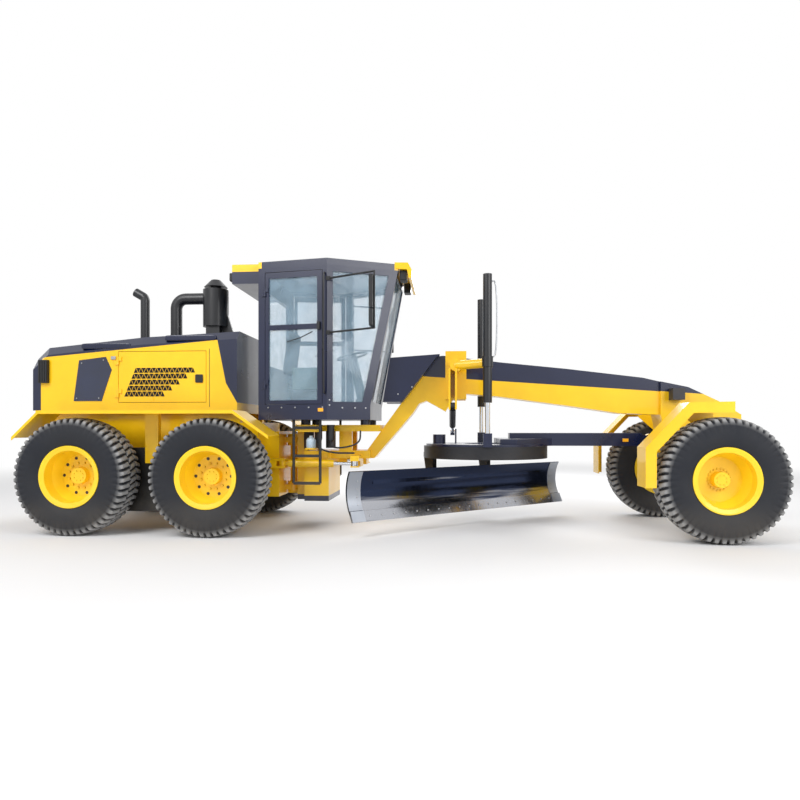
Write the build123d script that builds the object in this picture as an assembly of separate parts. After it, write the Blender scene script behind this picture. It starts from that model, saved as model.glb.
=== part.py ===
"""Motor grader, built as separate pieces that hinge, steer and slide.

Frame: X forward, Y to the machine's left, Z up, millimetres. The origin lies on the ground
under the middle of the machine's length. Right-hand pieces are modelled at -Y and mirrored.
"""
from build123d import *
from math import cos, pi, radians, sin
import os

os.makedirs("parts", exist_ok=True)

# ---------------------------------------------------------------- driving dimensions
WHEELBASE = 6428.0        # front axle to the middle of the tandem
TANDEM_HALF = 798.0       # tandem middle to each rear axle
TRACK = 2120.0            # wheel centre to wheel centre, across
TYRE_R = 675.0            # out to the lugs' tips
TYRE_W = 445.0
TYRE_SIDES = 36           # flats round a tyre, one of them on the ground
REAR_REACH = 1772.0       # tandem middle to the back of the hitch
FIT = 0.05                # radial clearance of a pin or shaft in its hole
SLIP = 0.3                # gap between faces that slide past each other
PLATE = 25.0              # heavy plate
SHEET = 12.0              # formed sheet

AXLE_Z = TYRE_R
WHEEL_Y = TRACK / 2
AXLE_X = (WHEELBASE + REAR_REACH + TYRE_R) / 2 - TYRE_R
TANDEM_X = AXLE_X - WHEELBASE
REAR_X = TANDEM_X - REAR_REACH
PIVOT_X = TANDEM_X + 1498.0    # the articulation pin
CIRCLE_X = AXLE_X - 2460.0     # the turning circle's axis

# ---------------------------------------------------------------- wheels
BEAD_R = 318.0
FLANGE_R = 356.0
RIM_HALF = 178.0          # wheel centre plane to the flange's inner face
FLANGE_T = 20.0
RIM_WALL = 18.0
DISC_T = 24.0
SPINDLE_R = 70.0
SPINDLE_END = 4.0         # end play between spindle and hub cap
HUB_CAP = 30.0            # metal left between the bore's end and the hub's face
# name of the axle: disc position, hub face position (outwards from the centre plane), hub radius
WHEEL_KINDS = {
    "rear": {"disc": -95.0, "hub": -4.0, "hub_r": 92.0},
    "front": {"disc": -60.0, "hub": 50.0, "hub_r": 84.0},
}

# ---------------------------------------------------------------- tandem drive
CASE_IN, CASE_OUT = 590.0, 800.0       # distances from the middle plane
CASE_DROP = 60.0                       # the case's middle hangs this far under the axles
CASE_END_R = 285.0
CASE_MID_H = 380.0
TRUNNION_R = 130.0
FENDER_IN, FENDER_OUT = 815.0, 1280.0
FENDER_Z = 1432.0                      # top of the fender's deck
FENDER_LIP = 38.0
POST_HALF = 80.0                       # half width of the post between the tyres
FENDER_BACK, FENDER_FRONT = -1147.0, 1117.0     # ends of the flat deck, from the tandem's middle
FENDER_TAIL = (-1465.0, 1130.0)                 # lower end of the rear slope
FENDER_NOSE = (1524.0, 1150.0)                  # lower end of the front slope

# ---------------------------------------------------------------- rear frame and hood
RAIL_IN, RAIL_OUT = 420.0, 500.0
RAIL_Z0, RAIL_Z1 = 960.0, 1420.0
RAIL_TIP_Z = 1300.0                    # top of the rails ahead of the hood, where the cab swings over them
FRAME_BACK = TANDEM_X - 1622.0
DECK_T = 30.0                          # plate on the rails that carries engine and hood
HOUSING_R = 190.0                      # rear axle housing
END_BACK, END_FRONT = PIVOT_X - 368.0, PIVOT_X - 90.0
END_HALF, END_Z0, END_Z1 = 400.0, 380.0, 1190.0
PIN_R = 45.0                           # articulation pin
LUG_R = 90.0
FORK_R = 80.0
LUG_T = 70.0
LOW_LUG_Z, HIGH_LUG_Z = 470.0, 1080.0  # middle of each articulation lug
HOOD_HALF = 620.0
HOOD_WALL = 40.0
HOOD_Z0 = RAIL_Z1 + DECK_T
HOOD_BACK, HOOD_FRONT = TANDEM_X - 1654.0, TANDEM_X + 948.0
HOOD_PROFILE = [(HOOD_BACK, 2100.0), (HOOD_BACK + 150.0, 2240.0),
                (TANDEM_X - 272.0, 2360.0), (HOOD_FRONT, 2420.0)]     # x, z along the top
HOOD_SHOULDER = 105.0
DOOR_BACK, DOOR_FRONT = TANDEM_X - 545.0, TANDEM_X + 560.0
DOOR_Z0, DOOR_Z1 = 1550.0, 2170.0
HOOD_HINGES = (DOOR_Z0 + 60, DOOR_Z1 - 160)
SEAM = 6.0                             # gap around a door
HINGE_R, HINGE_PIN_R = 12.0, 7.0        # door hinges: knuckle and pin
HINGE_LEAF, HINGE_STEP = 45.0, 50.0    # a leaf's reach and a knuckle's height
GRILLE_T = 30.0
ENGINE = {"x0": TANDEM_X - 900.0, "x1": TANDEM_X + 500.0, "half": 380.0, "z1": 2080.0}
STACK_X, STACK_R, STACK_TOP = TANDEM_X - 512.0, 58.0, 2960.0
INTAKE_X, INTAKE_R, INTAKE_Z = TANDEM_X - 83.0, 74.0, 2935.0
CLEANER_X, CLEANER_R = TANDEM_X + 453.0, 164.0
CLEANER_Z0, CLEANER_Z1 = 2560.0, 3045.0
PIPE_WALL = 5.0
HITCH_PIN_R = 26.0
HITCH_Z = 900.0
HITCH_GAP = 90.0
LAMP = {"x0": HOOD_BACK + 95.0, "x1": HOOD_BACK + 215.0, "z0": 1790.0, "z1": 2075.0, "t": 45.0}

# ---------------------------------------------------------------- front frame
NECK_HALF = 220.0                      # narrow part behind the pivot's swing
BODY_HALF = 400.0
BEAM_HALF = 150.0
NECK_X, BODY_X = PIVOT_X + 100.0, PIVOT_X + 230.0
BELLY_FRONT = PIVOT_X + 535.0          # stays behind the blade's turning circle
BELLY_Z0, BELLY_Z1 = 330.0, 950.0
STEP_Z = 850.0                         # underside ahead of the belly, over the blade
MOUNT_Z0, MOUNT_Z1 = 1190.0, 1270.0    # deck that carries the cab
MOUNT_FRONT = PIVOT_X + 1170.0
# bottles hung under the deck's right edge: x from the pivot, radius, foot
HANGING_BOTTLES = [(272.0, 62.0, 974.0), (387.0, 41.0, 985.0), (548.0, 61.0, 985.0)]
BOTTLE_Y = 330.0
NECK_FOOT, NECK_HEEL = PIVOT_X + 1070.0, PIVOT_X + 980.0    # where the neck leaves the belly: underside, top
NECK_ARCH_X = AXLE_X - 2960.0          # front end of the neck's arch, under the saddle
# underside of the neck: share of the way from its foot to the arch's end, z
NECK_ARCH = [(0.0, STEP_Z), (0.378, 1244.0), (0.544, 1420.0), (0.633, 1540.0), (0.733, 1575.0),
             (0.867, 1510.0), (1.0, 1440.0)]
# the beam ahead of the arch and back along its top, from the front axle: x, z
BEAM_OUTLINE = [(-2810.0, 1670.0), (-2310.0, 1625.0), (-1470.0, 1510.0), (-830.0, 1415.0),
                (-345.0, 1395.0), (-310.0, 1440.0), (-300.0, 1640.0), (-340.0, 1800.0),
                (-550.0, 1850.0), (-1470.0, 1965.0), (-2270.0, 2050.0), (-2990.0, 2140.0),
                (-3090.0, 2130.0)]
# side cover of the neck: share of the way from its back, behind the windscreen's foot, to its front; z
PANEL_OUTLINE = [(0.0, 1553.0), (0.343, 1553.0), (0.943, 2105.0), (1.0, 2140.0), (0.129, 2100.0)]
PANEL_T = 190.0
NOSE_HALF = 190.0
NOSE_OUTLINE = [(-345.0, 1800.0), (-20.0, 1730.0), (333.0, 1560.0), (600.0, 1395.0),
                (600.0, 1080.0), (150.0, 1060.0), (-300.0, 1180.0), (-345.0, 1395.0)]
BRACKET_X, BRACKET_T = 175.0, 60.0     # plates that hold the axle's pivot pin, from the axle
AXLE_PIN_Z = 740.0
AXLE_PIN_R = 40.0

# ---------------------------------------------------------------- cab
CAB_BACK, CAB_B, CAB_FRONT = PIVOT_X - 260.0, PIVOT_X + 600.0, PIVOT_X + 1400.0
CAB_BACK_HALF, CAB_B_HALF, CAB_FRONT_HALF = 700.0, 850.0, 480.0
CAB_Z0, CAB_FLOOR, CAB_Z1 = 1330.0, 1420.0, 3140.0
CAB_WALL = 50.0
CAB_RAKE_X, CAB_RAKE_Z = PIVOT_X + 1080.0, 1500.0       # foot of the leaning windscreen
ROOF_T = 75.0
DOOR_EDGE = 85.0                       # pillar left beside the door opening, at the back
DOOR_LEAD = 55.0                       # the same at the B pillar
CAB_DOOR_Z0, CAB_DOOR_Z1 = 1510.0, 3085.0
CAB_HINGES = (1700.0, 2800.0)
DOOR_PANES = ((1560.0, 2395.0), (2455.0, 3010.0))      # lower and upper pane, in height
GLASS_T = 8.0
MIRROR_TOP, MIRROR_LOW, MIRROR_TUBE = 2975.0, 2345.0, 11.0
LADDER_X0, LADDER_X1, LADDER_Y, LADDER_R = PIVOT_X + 170.0, PIVOT_X + 490.0, 700.0, 17.0
LADDER_RUNGS = (575.0, 900.0, 1235.0)

# ---------------------------------------------------------------- drawbar, circle and blade
BALL_X, BALL_Z, BALL_R = AXLE_X - 430.0, 1085.0, 75.0
BALL_PIN_R = 28.0
RING_R, RING_IN, RING_Z0, RING_Z1 = 775.0, 640.0, 860.0, 1010.0
DRAWBAR_HALF, DRAWBAR_Z1 = 105.0, 1170.0
DRAWBAR_Z0 = RING_Z1 + SLIP
DRIVE_TOP = 1150.0
BLADE_LEN = 3560.0
BLADE_ANGLE = 49.0                     # from square across; the right end trails
BLADE_BACK = 150.0                     # blade middle behind the circle's axis
BLADE_SHIFT = -130.0                   # blade slid towards its right end
BLADE_Z0, BLADE_Z1 = 175.0, 745.0
BLADE_T = 22.0
BLADE_SAG = 95.0                       # depth of the blade's hollow
LEG_OFFSET, LEG_T = 480.0, 60.0        # each leg from the circle's middle, along the blade
LEG_TOP = (420.0, 610.0)               # leg's upright part under the ring, behind the circle's axis
LEG_PLATE_Y = -200.0                   # front end of the plate over each leg
RAIL_H, RAIL_D = 50.0, 40.0            # slide rails on the blade's back
RAIL_BACK = 185.0                      # back faces of the slide rails, behind the blade's middle
RAIL_HEIGHTS = (340.0, 610.0)
TILT_Y, TILT_Z, TILT_PIN_R = 230.0, 300.0, 25.0    # the blade's tilt pin

# ---------------------------------------------------------------- cylinders
# kind: barrel radius, rod radius, eye radius, eye pin radius, eye width
CYL = {
    "steer": {"barrel": 46.0, "rod": 22.0, "eye": 42.0, "pin": 20.0, "width": 60.0},
    "lift": {"barrel": 52.0, "rod": 30.0, "eye": 48.0, "pin": 24.0, "width": 70.0},
    "shift": {"barrel": 40.0, "rod": 20.0, "eye": 40.0, "pin": 20.0, "width": 56.0},
}
NECK_REACH = 33.0                      # slim neck between a barrel and its eye
ART_Z = 800.0
ART_Y = 500.0
ART_BASE_X, ART_ROD_X = PIVOT_X - 20.0, PIVOT_X + 870.0
ART_BASE, ART_END = (ART_BASE_X, -ART_Y, ART_Z), (ART_ROD_X, -ART_Y, ART_Z)
ART_BARREL, ART_INNER = 640.0, 300.0   # barrel's length; where the rod starts inside it
LOW_PLATE = 15.0                       # plate under the rod's eye, thin so that the blade passes below it
ART_DRIFT = 95.0                       # room beside the rod's eye, which drifts as the machine bends
LIFT_X, LIFT_Y = AXLE_X - 2470.0, 750.0
COLLAR_T = 12.0                        # collar round a lift barrel at its trunnion
LIFT_TOP, LIFT_TRUNNION_Z, LIFT_FOOT, LIFT_EYE_Z = 3012.0, 2000.0, 1525.0, 1125.0
CENTRE_TOP = (AXLE_X - 2870.0, -470.0, 1500.0)
CENTRE_END = (AXLE_X - 2870.0, 350.0, 1175.0)
CENTRE_BARREL, CENTRE_INNER = 640.0, 560.0
EAR_ROOM = 5.0                         # the drawbar's ear swings this far towards the rod's eye as it lifts
LIFT_INSIDE = 700.0                    # length of a lift rod inside its barrel

# ---------------------------------------------------------------- front axle
BEAM_HALF_X = 110.0
LEAN_Y, LEAN_Z, LEAN_PIN_R = 645.0, 620.0, 30.0    # lean pin, along X
KING_Y, KING_R = 780.0, 30.0
BOSS_R, BOSS_HALF = 55.0, 80.0         # kingpin boss on the lean bracket, about the axle's height
EAR_T = 40.0
BEAM_GAP = 70.0                        # from the lean pin back to the beam's end face
ARM_REACH = 218.0                      # steering arm's rounded end, behind the kingpin
ARM_HALF, ARM_Z0, ARM_Z1 = 25.0, 515.0, 550.0
TIE_R, TIE_HALF = 18.0, 764.0
LEAN_BAR_Z = 845.0                     # top pins of the lean brackets, straight above the lean pins
LEAN_BAR_T = 30.0
GUARD_IN, GUARD_OUT = 930.0, 1240.0
GUARD_LIP = 114.0
GUARD_OUTLINE = [(-835.0, 595.0), (-835.0, 1025.0), (-385.0, 1505.0), (80.0, 1512.0)]


# ================================================================ shape helpers
def box(x0, x1, y0, y1, z0, z1):
    """A block between two corners."""
    middle = ((x0 + x1) / 2, (y0 + y1) / 2, (z0 + z1) / 2)
    return Pos(*middle) * Box(abs(x1 - x0), abs(y1 - y0), abs(z1 - z0))


def slab_y(outline, y0, y1):
    """An outline of (x, z) points, carried from y0 to y1."""
    face = make_face(Polyline(*[(x, y0, z) for x, z in outline], close=True))
    return extrude(face, amount=y1 - y0, dir=(0, 1, 0))


def slab_x(outline, x0, x1):
    """An outline of (y, z) points, carried from x0 to x1."""
    face = make_face(Polyline(*[(x0, y, z) for y, z in outline], close=True))
    return extrude(face, amount=x1 - x0, dir=(1, 0, 0))


def slab_z(outline, z0, z1):
    """An outline of (x, y) points, carried from z0 to z1."""
    face = make_face(Polyline(*[(x, y, z0) for x, y in outline], close=True))
    return extrude(face, amount=z1 - z0, dir=(0, 0, 1))


def rod(start, end, r):
    """A round bar from one point to another."""
    axis = Vector(*end) - Vector(*start)
    return Plane(origin=start, z_dir=axis) * Cylinder(r, axis.length, align=(Align.CENTER, Align.CENTER, Align.MIN))


def pipe(points, bend, r, wall):
    """A hollow pipe along straight runs joined by bends."""
    path = FilletPolyline(*points, radius=bend)
    start = Plane(origin=path @ 0, z_dir=path % 0)
    outer = sweep(start * Circle(r), path=path)
    return outer - sweep(start * Circle(r - wall), path=path)


def turned(profile, x, y, z, outwards):
    """A (radius, s) profile revolved about the wheel axis; s points away from the machine."""
    face = make_face(Polyline(*[(r, outwards * s) for r, s in profile], close=True))
    return Pos(x, y, z) * revolve(face, axis=Axis.Y)


def mirrored(part):
    """The left-hand copy of a right-hand piece."""
    return mirror(part, about=Plane.XZ)


def f(x):
    """A distance from the front axle as an X position."""
    return AXLE_X + x


def t(x):
    """A distance from the tandem's middle as an X position."""
    return TANDEM_X + x


def p(x):
    """A distance from the articulation pin as an X position."""
    return PIVOT_X + x


# ================================================================ wheels
def faceted(profile, x, y, z):
    """A (radius, s) profile carried round the wheel axis in flat facets, whose middles lie on the radii."""
    stretch = 1 / cos(pi / TYRE_SIDES)
    rings = []
    for i in range(TYRE_SIDES):
        angle = 2 * pi * (i + 0.5) / TYRE_SIDES
        rings.append([(x + r * stretch * cos(angle), y + s, z + r * stretch * sin(angle)) for r, s in profile])
    facets = []
    for i, ring in enumerate(rings):
        last = rings[i - 1]
        for j, corner in enumerate(ring):
            facets.append(make_face(Polyline(ring[j - 1], corner, last[j], last[j - 1], close=True)))
    return Solid(Shell(facets))


def tyre(x, side):
    """A tyre as a ring of flat facets with bulged sides and bevelled shoulders."""
    half = TYRE_W / 2
    flank = [(BEAD_R, RIM_HALF), (FLANGE_R, RIM_HALF), (FLANGE_R + 24, half - 18),
             (FLANGE_R + 150, half), (TYRE_R - 60, half - 12), (TYRE_R, half - 58)]
    return faceted(flank + [(r, -s) for r, s in reversed(flank)], x, side * WHEEL_Y, AXLE_Z)


def rim(kind, x, side):
    """A dished rim with its hub; the spindle's bore is open towards the machine."""
    w = WHEEL_KINDS[kind]
    inner = BEAD_R - RIM_WALL
    edge = RIM_HALF + FLANGE_T
    bore = SPINDLE_R + FIT
    profile = [(0, w["hub"]), (w["hub_r"], w["hub"]), (w["hub_r"] + 10, w["disc"] + DISC_T),
               (inner - 60, w["disc"] + DISC_T), (inner, w["disc"] + DISC_T + 110), (inner, edge - 14),
               (FLANGE_R - 14, edge), (FLANGE_R, edge), (FLANGE_R, RIM_HALF), (BEAD_R, RIM_HALF),
               (BEAD_R, -RIM_HALF), (FLANGE_R, -RIM_HALF), (FLANGE_R, -edge), (inner, -edge),
               (inner, w["disc"]), (bore + 45, w["disc"]), (bore + 30, w["disc"] - 70), (bore, w["disc"] - 70),
               (bore, w["hub"] - HUB_CAP), (0, w["hub"] - HUB_CAP)]
    return turned(profile, x, side * WHEEL_Y, AXLE_Z, side)


def fixed_hinge(wall, at, z):
    """A body's half of a hinge on a wall's plane: leaf, lower knuckle and pin."""
    half = rod((at, -HINGE_R, z), (at, -HINGE_R, z + HINGE_STEP), HINGE_R)
    half += rod((at, -HINGE_R, z), (at, -HINGE_R, z + 2 * HINGE_STEP), HINGE_PIN_R)
    return wall * (half + box(at - HINGE_LEAF, at, -HINGE_R - 2, 1, z, z + HINGE_STEP))


def door_hinge(wall, at, z):
    """A door's half of the same hinge: leaf and upper knuckle, bored for the pin."""
    z0, z1 = z + HINGE_STEP + SLIP, z + 2 * HINGE_STEP
    half = rod((at, -HINGE_R, z0), (at, -HINGE_R, z1), HINGE_R)
    half += box(at, at + HINGE_LEAF, -HINGE_R - 2, 1, z0, z1)
    return wall * (half - rod((at, -HINGE_R, z), (at, -HINGE_R, z1 + 5), HINGE_PIN_R + FIT))


def spindle(kind, x, root_y, side):
    """The fixed shaft that a wheel turns on, from root_y out into the hub."""
    end = WHEEL_Y + WHEEL_KINDS[kind]["hub"] - HUB_CAP - SPINDLE_END
    return rod((x, side * root_y, AXLE_Z), (x, side * end, AXLE_Z), SPINDLE_R)


# ================================================================ tandem drive, right side
def tandem_case():
    """Chain case on the axle's trunnion, with a wheel spindle at each end."""
    z = AXLE_Z - CASE_DROP
    reach = TANDEM_HALF
    outline = [(t(-reach - CASE_END_R), z - 100), (t(-reach - 150), z - CASE_END_R), (t(-330), z - CASE_MID_H),
               (t(330), z - CASE_MID_H), (t(reach + 150), z - CASE_END_R), (t(reach + CASE_END_R), z - 100),
               (t(reach + CASE_END_R), z + 100), (t(reach + 150), z + CASE_END_R), (t(330), z + CASE_MID_H),
               (t(-330), z + CASE_MID_H), (t(-reach - 150), z + CASE_END_R), (t(-reach - CASE_END_R), z + 100)]
    case = slab_y(outline, -CASE_OUT, -CASE_IN)
    for x in (t(-reach), t(reach)):
        case += spindle("rear", x, CASE_OUT - 10, -1)
    bore_end = CASE_OUT - PLATE
    return case - rod((TANDEM_X, -CASE_IN + 1, AXLE_Z), (TANDEM_X, -bore_end, AXLE_Z), TRUNNION_R + FIT)


def tandem_fender():
    """Deck over both wheels with sloped ends, an outer lip and two posts down to the case."""
    top = [(t(FENDER_TAIL[0]), FENDER_TAIL[1]), (t(FENDER_BACK), FENDER_Z),
           (t(FENDER_FRONT), FENDER_Z), (t(FENDER_NOSE[0]), FENDER_NOSE[1])]
    under = [(x, z - SHEET) for x, z in reversed(top)]
    lip_under = [(x, z - FENDER_LIP) for x, z in reversed(top)]
    fender = slab_y(top + under, -FENDER_OUT, -FENDER_IN)
    fender += slab_y(top + lip_under, -FENDER_OUT, -FENDER_OUT + SHEET)
    foot = AXLE_Z - CASE_DROP + 200
    return fender + box(t(-POST_HALF), t(POST_HALF), -FENDER_IN - 60, -CASE_OUT, foot, FENDER_Z - SHEET / 2)


# ================================================================ rear frame, hood and what they carry
def rear_frame():
    """Two rails with a deck plate, the rear axle housing, the hitch and the articulation lugs."""
    frame = box(FRAME_BACK, HOOD_FRONT, -HOOD_HALF, HOOD_HALF, RAIL_Z1, RAIL_Z1 + DECK_T)
    for side in (-1, 1):
        frame += box(FRAME_BACK, HOOD_FRONT, side * RAIL_IN, side * RAIL_OUT, RAIL_Z0, RAIL_Z1)
        frame += box(HOOD_FRONT - PLATE, END_BACK, side * RAIL_IN, side * RAIL_OUT, RAIL_Z0, RAIL_TIP_Z)
        frame += box(t(-230), t(230), side * RAIL_IN, side * RAIL_OUT, AXLE_Z - 120, RAIL_Z0)
        ear = box(END_FRONT - 80, ART_BASE_X + 38, side * (END_HALF - 20), side * (ART_Y + 50),
                  ART_Z - 60, ART_Z + 60)
        slot = CYL["steer"]["width"] / 2 + SLIP
        ear -= box(END_FRONT + 5, ART_BASE_X + 100, side * (ART_Y - 70), side * (ART_Y + 90),
                   ART_Z - slot, ART_Z + slot)
        frame += ear
        frame += rod((ART_BASE_X, side * ART_Y, ART_Z - 60), (ART_BASE_X, side * ART_Y, ART_Z + 60),
                     CYL["steer"]["pin"])
    frame += rod((TANDEM_X, -CASE_IN + SLIP, AXLE_Z), (TANDEM_X, CASE_IN - SLIP, AXLE_Z), HOUSING_R)
    trunnion = CASE_OUT - PLATE - SPINDLE_END
    frame += rod((TANDEM_X, -trunnion, AXLE_Z), (TANDEM_X, trunnion, AXLE_Z), TRUNNION_R)
    frame += box(FRAME_BACK, FRAME_BACK + 60, -HOOD_HALF, HOOD_HALF, RAIL_Z0 - 180, RAIL_Z1)
    frame += box(END_BACK - 60, END_FRONT, -END_HALF, END_HALF, END_Z0, END_Z1)
    frame += box(END_BACK - 60, END_BACK + 40, -RAIL_OUT, RAIL_OUT, RAIL_Z0, RAIL_TIP_Z)
    frame += box(END_BACK - 330, END_BACK - 40, -BODY_HALF + 60, BODY_HALF - 60, END_Z0 + 120, END_Z0 + 160)
    for z in (LOW_LUG_Z, HIGH_LUG_Z):
        lug = box(END_FRONT - 10, PIVOT_X, -LUG_R, LUG_R, z - LUG_T / 2, z + LUG_T / 2)
        lug += rod((PIVOT_X, 0, z - LUG_T / 2), (PIVOT_X, 0, z + LUG_T / 2), LUG_R)
        frame += lug - rod((PIVOT_X, 0, z - LUG_T), (PIVOT_X, 0, z + LUG_T), PIN_R + FIT)
    return frame + hitch()


def hitch():
    """Tow clevis on the rear plate: two ears with a pin hole through both."""
    ear = 30.0
    clevis = box(FRAME_BACK - 20, FRAME_BACK + 10, -140, 140, HITCH_Z - 120, HITCH_Z + 120)
    for side in (-1, 1):
        z0 = HITCH_Z + side * HITCH_GAP / 2
        clevis += box(REAR_X, FRAME_BACK, -80, 80, z0, z0 + side * ear)
    reach = HITCH_GAP / 2 + ear + 5
    return clevis - rod((REAR_X + 60, 0, HITCH_Z - reach), (REAR_X + 60, 0, HITCH_Z + reach), HITCH_PIN_R)


def hood_shape(shrink):
    """The hood as a full block, its shoulders bevelled; shrink moves every face inwards."""
    outline = [(HOOD_BACK + shrink, HOOD_Z0 - shrink)]
    outline += [(min(max(x, HOOD_BACK + shrink), HOOD_FRONT - shrink), z - shrink) for x, z in HOOD_PROFILE]
    outline += [(HOOD_FRONT - shrink, HOOD_Z0 - shrink)]
    body = slab_y(outline, -HOOD_HALF + shrink, HOOD_HALF - shrink)
    top = body.edges().filter_by(lambda e: e.center().Z > HOOD_PROFILE[0][1] - shrink + 1)
    long_edges = top.filter_by(lambda e: abs(abs(e.center().Y) - HOOD_HALF + shrink) < 0.1)
    return chamfer(long_edges, HOOD_SHOULDER)


def door_block(grow):
    """The space of one engine door in the hood's right wall."""
    return box(DOOR_BACK - grow, DOOR_FRONT + grow, -HOOD_HALF - 10, -HOOD_HALF + HOOD_WALL + 10,
               DOOR_Z0 - grow, DOOR_Z1 + grow)


def hood():
    """The hollow hood with a doorway on each side and holes for the stack and the intake."""
    shell = hood_shape(0.0) - hood_shape(HOOD_WALL)
    shell -= door_block(SEAM) + mirrored(door_block(SEAM))
    for x, r in ((STACK_X, STACK_R), (INTAKE_X, INTAKE_R)):
        shell -= rod((x, 0, 2200), (x, 0, 2600), r + 10)
    shell -= box(HOOD_BACK - 10, HOOD_BACK + HOOD_WALL + 10, -HOOD_HALF + 110, HOOD_HALF - 110, 1500, 2040)
    for z in HOOD_HINGES:
        half = fixed_hinge(HOOD_SIDE, -SEAM / 2, z)
        shell += half + mirrored(half)
    return shell


HOOD_SIDE = Plane(origin=(DOOR_BACK, -HOOD_HALF, 0), x_dir=(1, 0, 0), z_dir=(0, 0, 1))


def rear_grille():
    """Radiator grille in the hood's rear opening."""
    return box(HOOD_BACK, HOOD_BACK + GRILLE_T, -HOOD_HALF + 110 + SLIP, HOOD_HALF - 110 - SLIP,
               1500 + SLIP, 2040 - SLIP)


def tail_lamps():
    """One lamp body on each side of the hood's tail."""
    lamp = box(LAMP["x0"], LAMP["x1"], -HOOD_HALF - LAMP["t"], -HOOD_HALF, LAMP["z0"], LAMP["z1"])
    return lamp + mirrored(lamp)


def engine_door():
    """Right engine door, hinged at its rear edge on a vertical pin."""
    door = box(DOOR_BACK, DOOR_FRONT, -HOOD_HALF, -HOOD_HALF + HOOD_WALL, DOOR_Z0, DOOR_Z1)
    for z in HOOD_HINGES:
        door += door_hinge(HOOD_SIDE, -SEAM / 2, z)
    return door


def engine_block():
    """The engine as one plain block on the deck."""
    return box(ENGINE["x0"], ENGINE["x1"], -ENGINE["half"], ENGINE["half"], HOOD_Z0, ENGINE["z1"])


def exhaust_pipe():
    """Upright pipe whose mouth bends to the rear."""
    foot = ENGINE["z1"]
    return pipe([(STACK_X, 0, foot), (STACK_X, 0, STACK_TOP), (STACK_X - 130, 0, STACK_TOP + 75)],
                60, STACK_R, PIPE_WALL)


def air_cleaner():
    """Intake pipe, elbow, cleaner drum on the hood and its rain cap."""
    drum = rod((CLEANER_X, 0, CLEANER_Z0), (CLEANER_X, 0, CLEANER_Z1), CLEANER_R)
    drum += rod((CLEANER_X, 0, CLEANER_Z1 - 5), (CLEANER_X, 0, CLEANER_Z1 + 40), 70)
    cap = Pos(CLEANER_X, 0, CLEANER_Z1 + 35) * Cone(150, 60, 95, align=(Align.CENTER, Align.CENTER, Align.MIN))
    foot = box(CLEANER_X - 90, CLEANER_X + 90, -120, 120, 2380, CLEANER_Z0 + 5)
    foot += slab_y([(CLEANER_X + 80, 2380), (CLEANER_X + 270, 2380), (CLEANER_X + 150, 2760),
                    (CLEANER_X + 80, 2760)], -20, 20)
    duct = pipe([(INTAKE_X, 0, ENGINE["z1"]), (INTAKE_X, 0, INTAKE_Z), (CLEANER_X - CLEANER_R + 20, 0, INTAKE_Z)],
                130, INTAKE_R, PIPE_WALL)
    return drum + cap + (foot - hood_shape(0.0)) + duct


def stacks():
    """Exhaust pipe and air cleaner, both on top of the engine."""
    return exhaust_pipe() + air_cleaner()


# ================================================================ front frame
def neck_outline():
    """The gooseneck and beam in the side view, from the belly to the nose and back along the top."""
    outline = [(BELLY_FRONT, STEP_Z)]
    outline += [(NECK_FOOT + share * (NECK_ARCH_X - NECK_FOOT), z) for share, z in NECK_ARCH]
    outline += [(f(x), z) for x, z in BEAM_OUTLINE]
    return outline + [(NECK_HEEL, BELLY_Z1), (BELLY_FRONT, BELLY_Z1)]


def front_frame():
    """Pivot fork, belly, cab deck, gooseneck, beam and the nose over the front axle."""
    frame = box(NECK_X, BODY_X + 20, -NECK_HALF, NECK_HALF, BELLY_Z0, MOUNT_Z0)
    frame += box(BODY_X, BELLY_FRONT, -BODY_HALF, BODY_HALF, BELLY_Z0, BELLY_Z1)
    frame += box(BELLY_FRONT - 30, NECK_FOOT - 40, -250, 250, STEP_Z, BELLY_Z1)
    frame += box(NECK_X, MOUNT_FRONT, -BODY_HALF, BODY_HALF, MOUNT_Z0, MOUNT_Z1)
    for side in (-1, 1):
        frame += box(p(640), p(800), side * 180, side * 250, BELLY_Z1 - 10, MOUNT_Z0 + 10)
        frame += rod_bracket(side)
    frame += slab_y(neck_outline(), -BEAM_HALF, BEAM_HALF)
    frame += slab_y([(f(x), z) for x, z in NOSE_OUTLINE], -NOSE_HALF, NOSE_HALF)
    return frame + pivot_fork() + axle_brackets() + ball_socket()


def rod_bracket(side):
    """Plates above and below an articulation rod's eye, open all round it so that the eye can drift."""
    x0, x1 = ART_ROD_X - 45, ART_ROD_X + 60
    slot = CYL["steer"]["width"] / 2 + SLIP
    bracket = box(x0, x1, side * 150, side * (ART_Y + 45), ART_Z - slot - LOW_PLATE, ART_Z + 95)
    near, far = side * (ART_Y - ART_DRIFT), side * (ART_Y + 90)
    return bracket - box(x0 - 10, x1 + 10, near, far, ART_Z - slot, ART_Z + slot)


def pivot_fork():
    """Ears above and below each lug of the rear frame, with the articulation pin through them."""
    fork = rod((PIVOT_X, 0, LOW_LUG_Z - LUG_T), (PIVOT_X, 0, HIGH_LUG_Z + LUG_T), PIN_R)
    for z in (LOW_LUG_Z, HIGH_LUG_Z):
        for side in (-1, 1):
            near = z + side * (LUG_T / 2 + SLIP)
            far = z + side * (LUG_T / 2 + 40)
            fork += box(PIVOT_X, NECK_X + 10, -FORK_R, FORK_R, near, far)
            fork += rod((PIVOT_X, 0, near), (PIVOT_X, 0, far), FORK_R)
    return fork


def axle_brackets():
    """Two plates hanging from the nose, which hold the front axle's pivot pin."""
    brackets = rod((f(-BRACKET_X - 40), 0, AXLE_PIN_Z), (f(BRACKET_X + 40), 0, AXLE_PIN_Z), AXLE_PIN_R)
    for side in (-1, 1):
        x0, x1 = f(side * BRACKET_X), f(side * (BRACKET_X + BRACKET_T))
        brackets += box(x0, x1, -NOSE_HALF + 30, NOSE_HALF - 30, AXLE_PIN_Z - 90, 1200)
    return brackets


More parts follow.
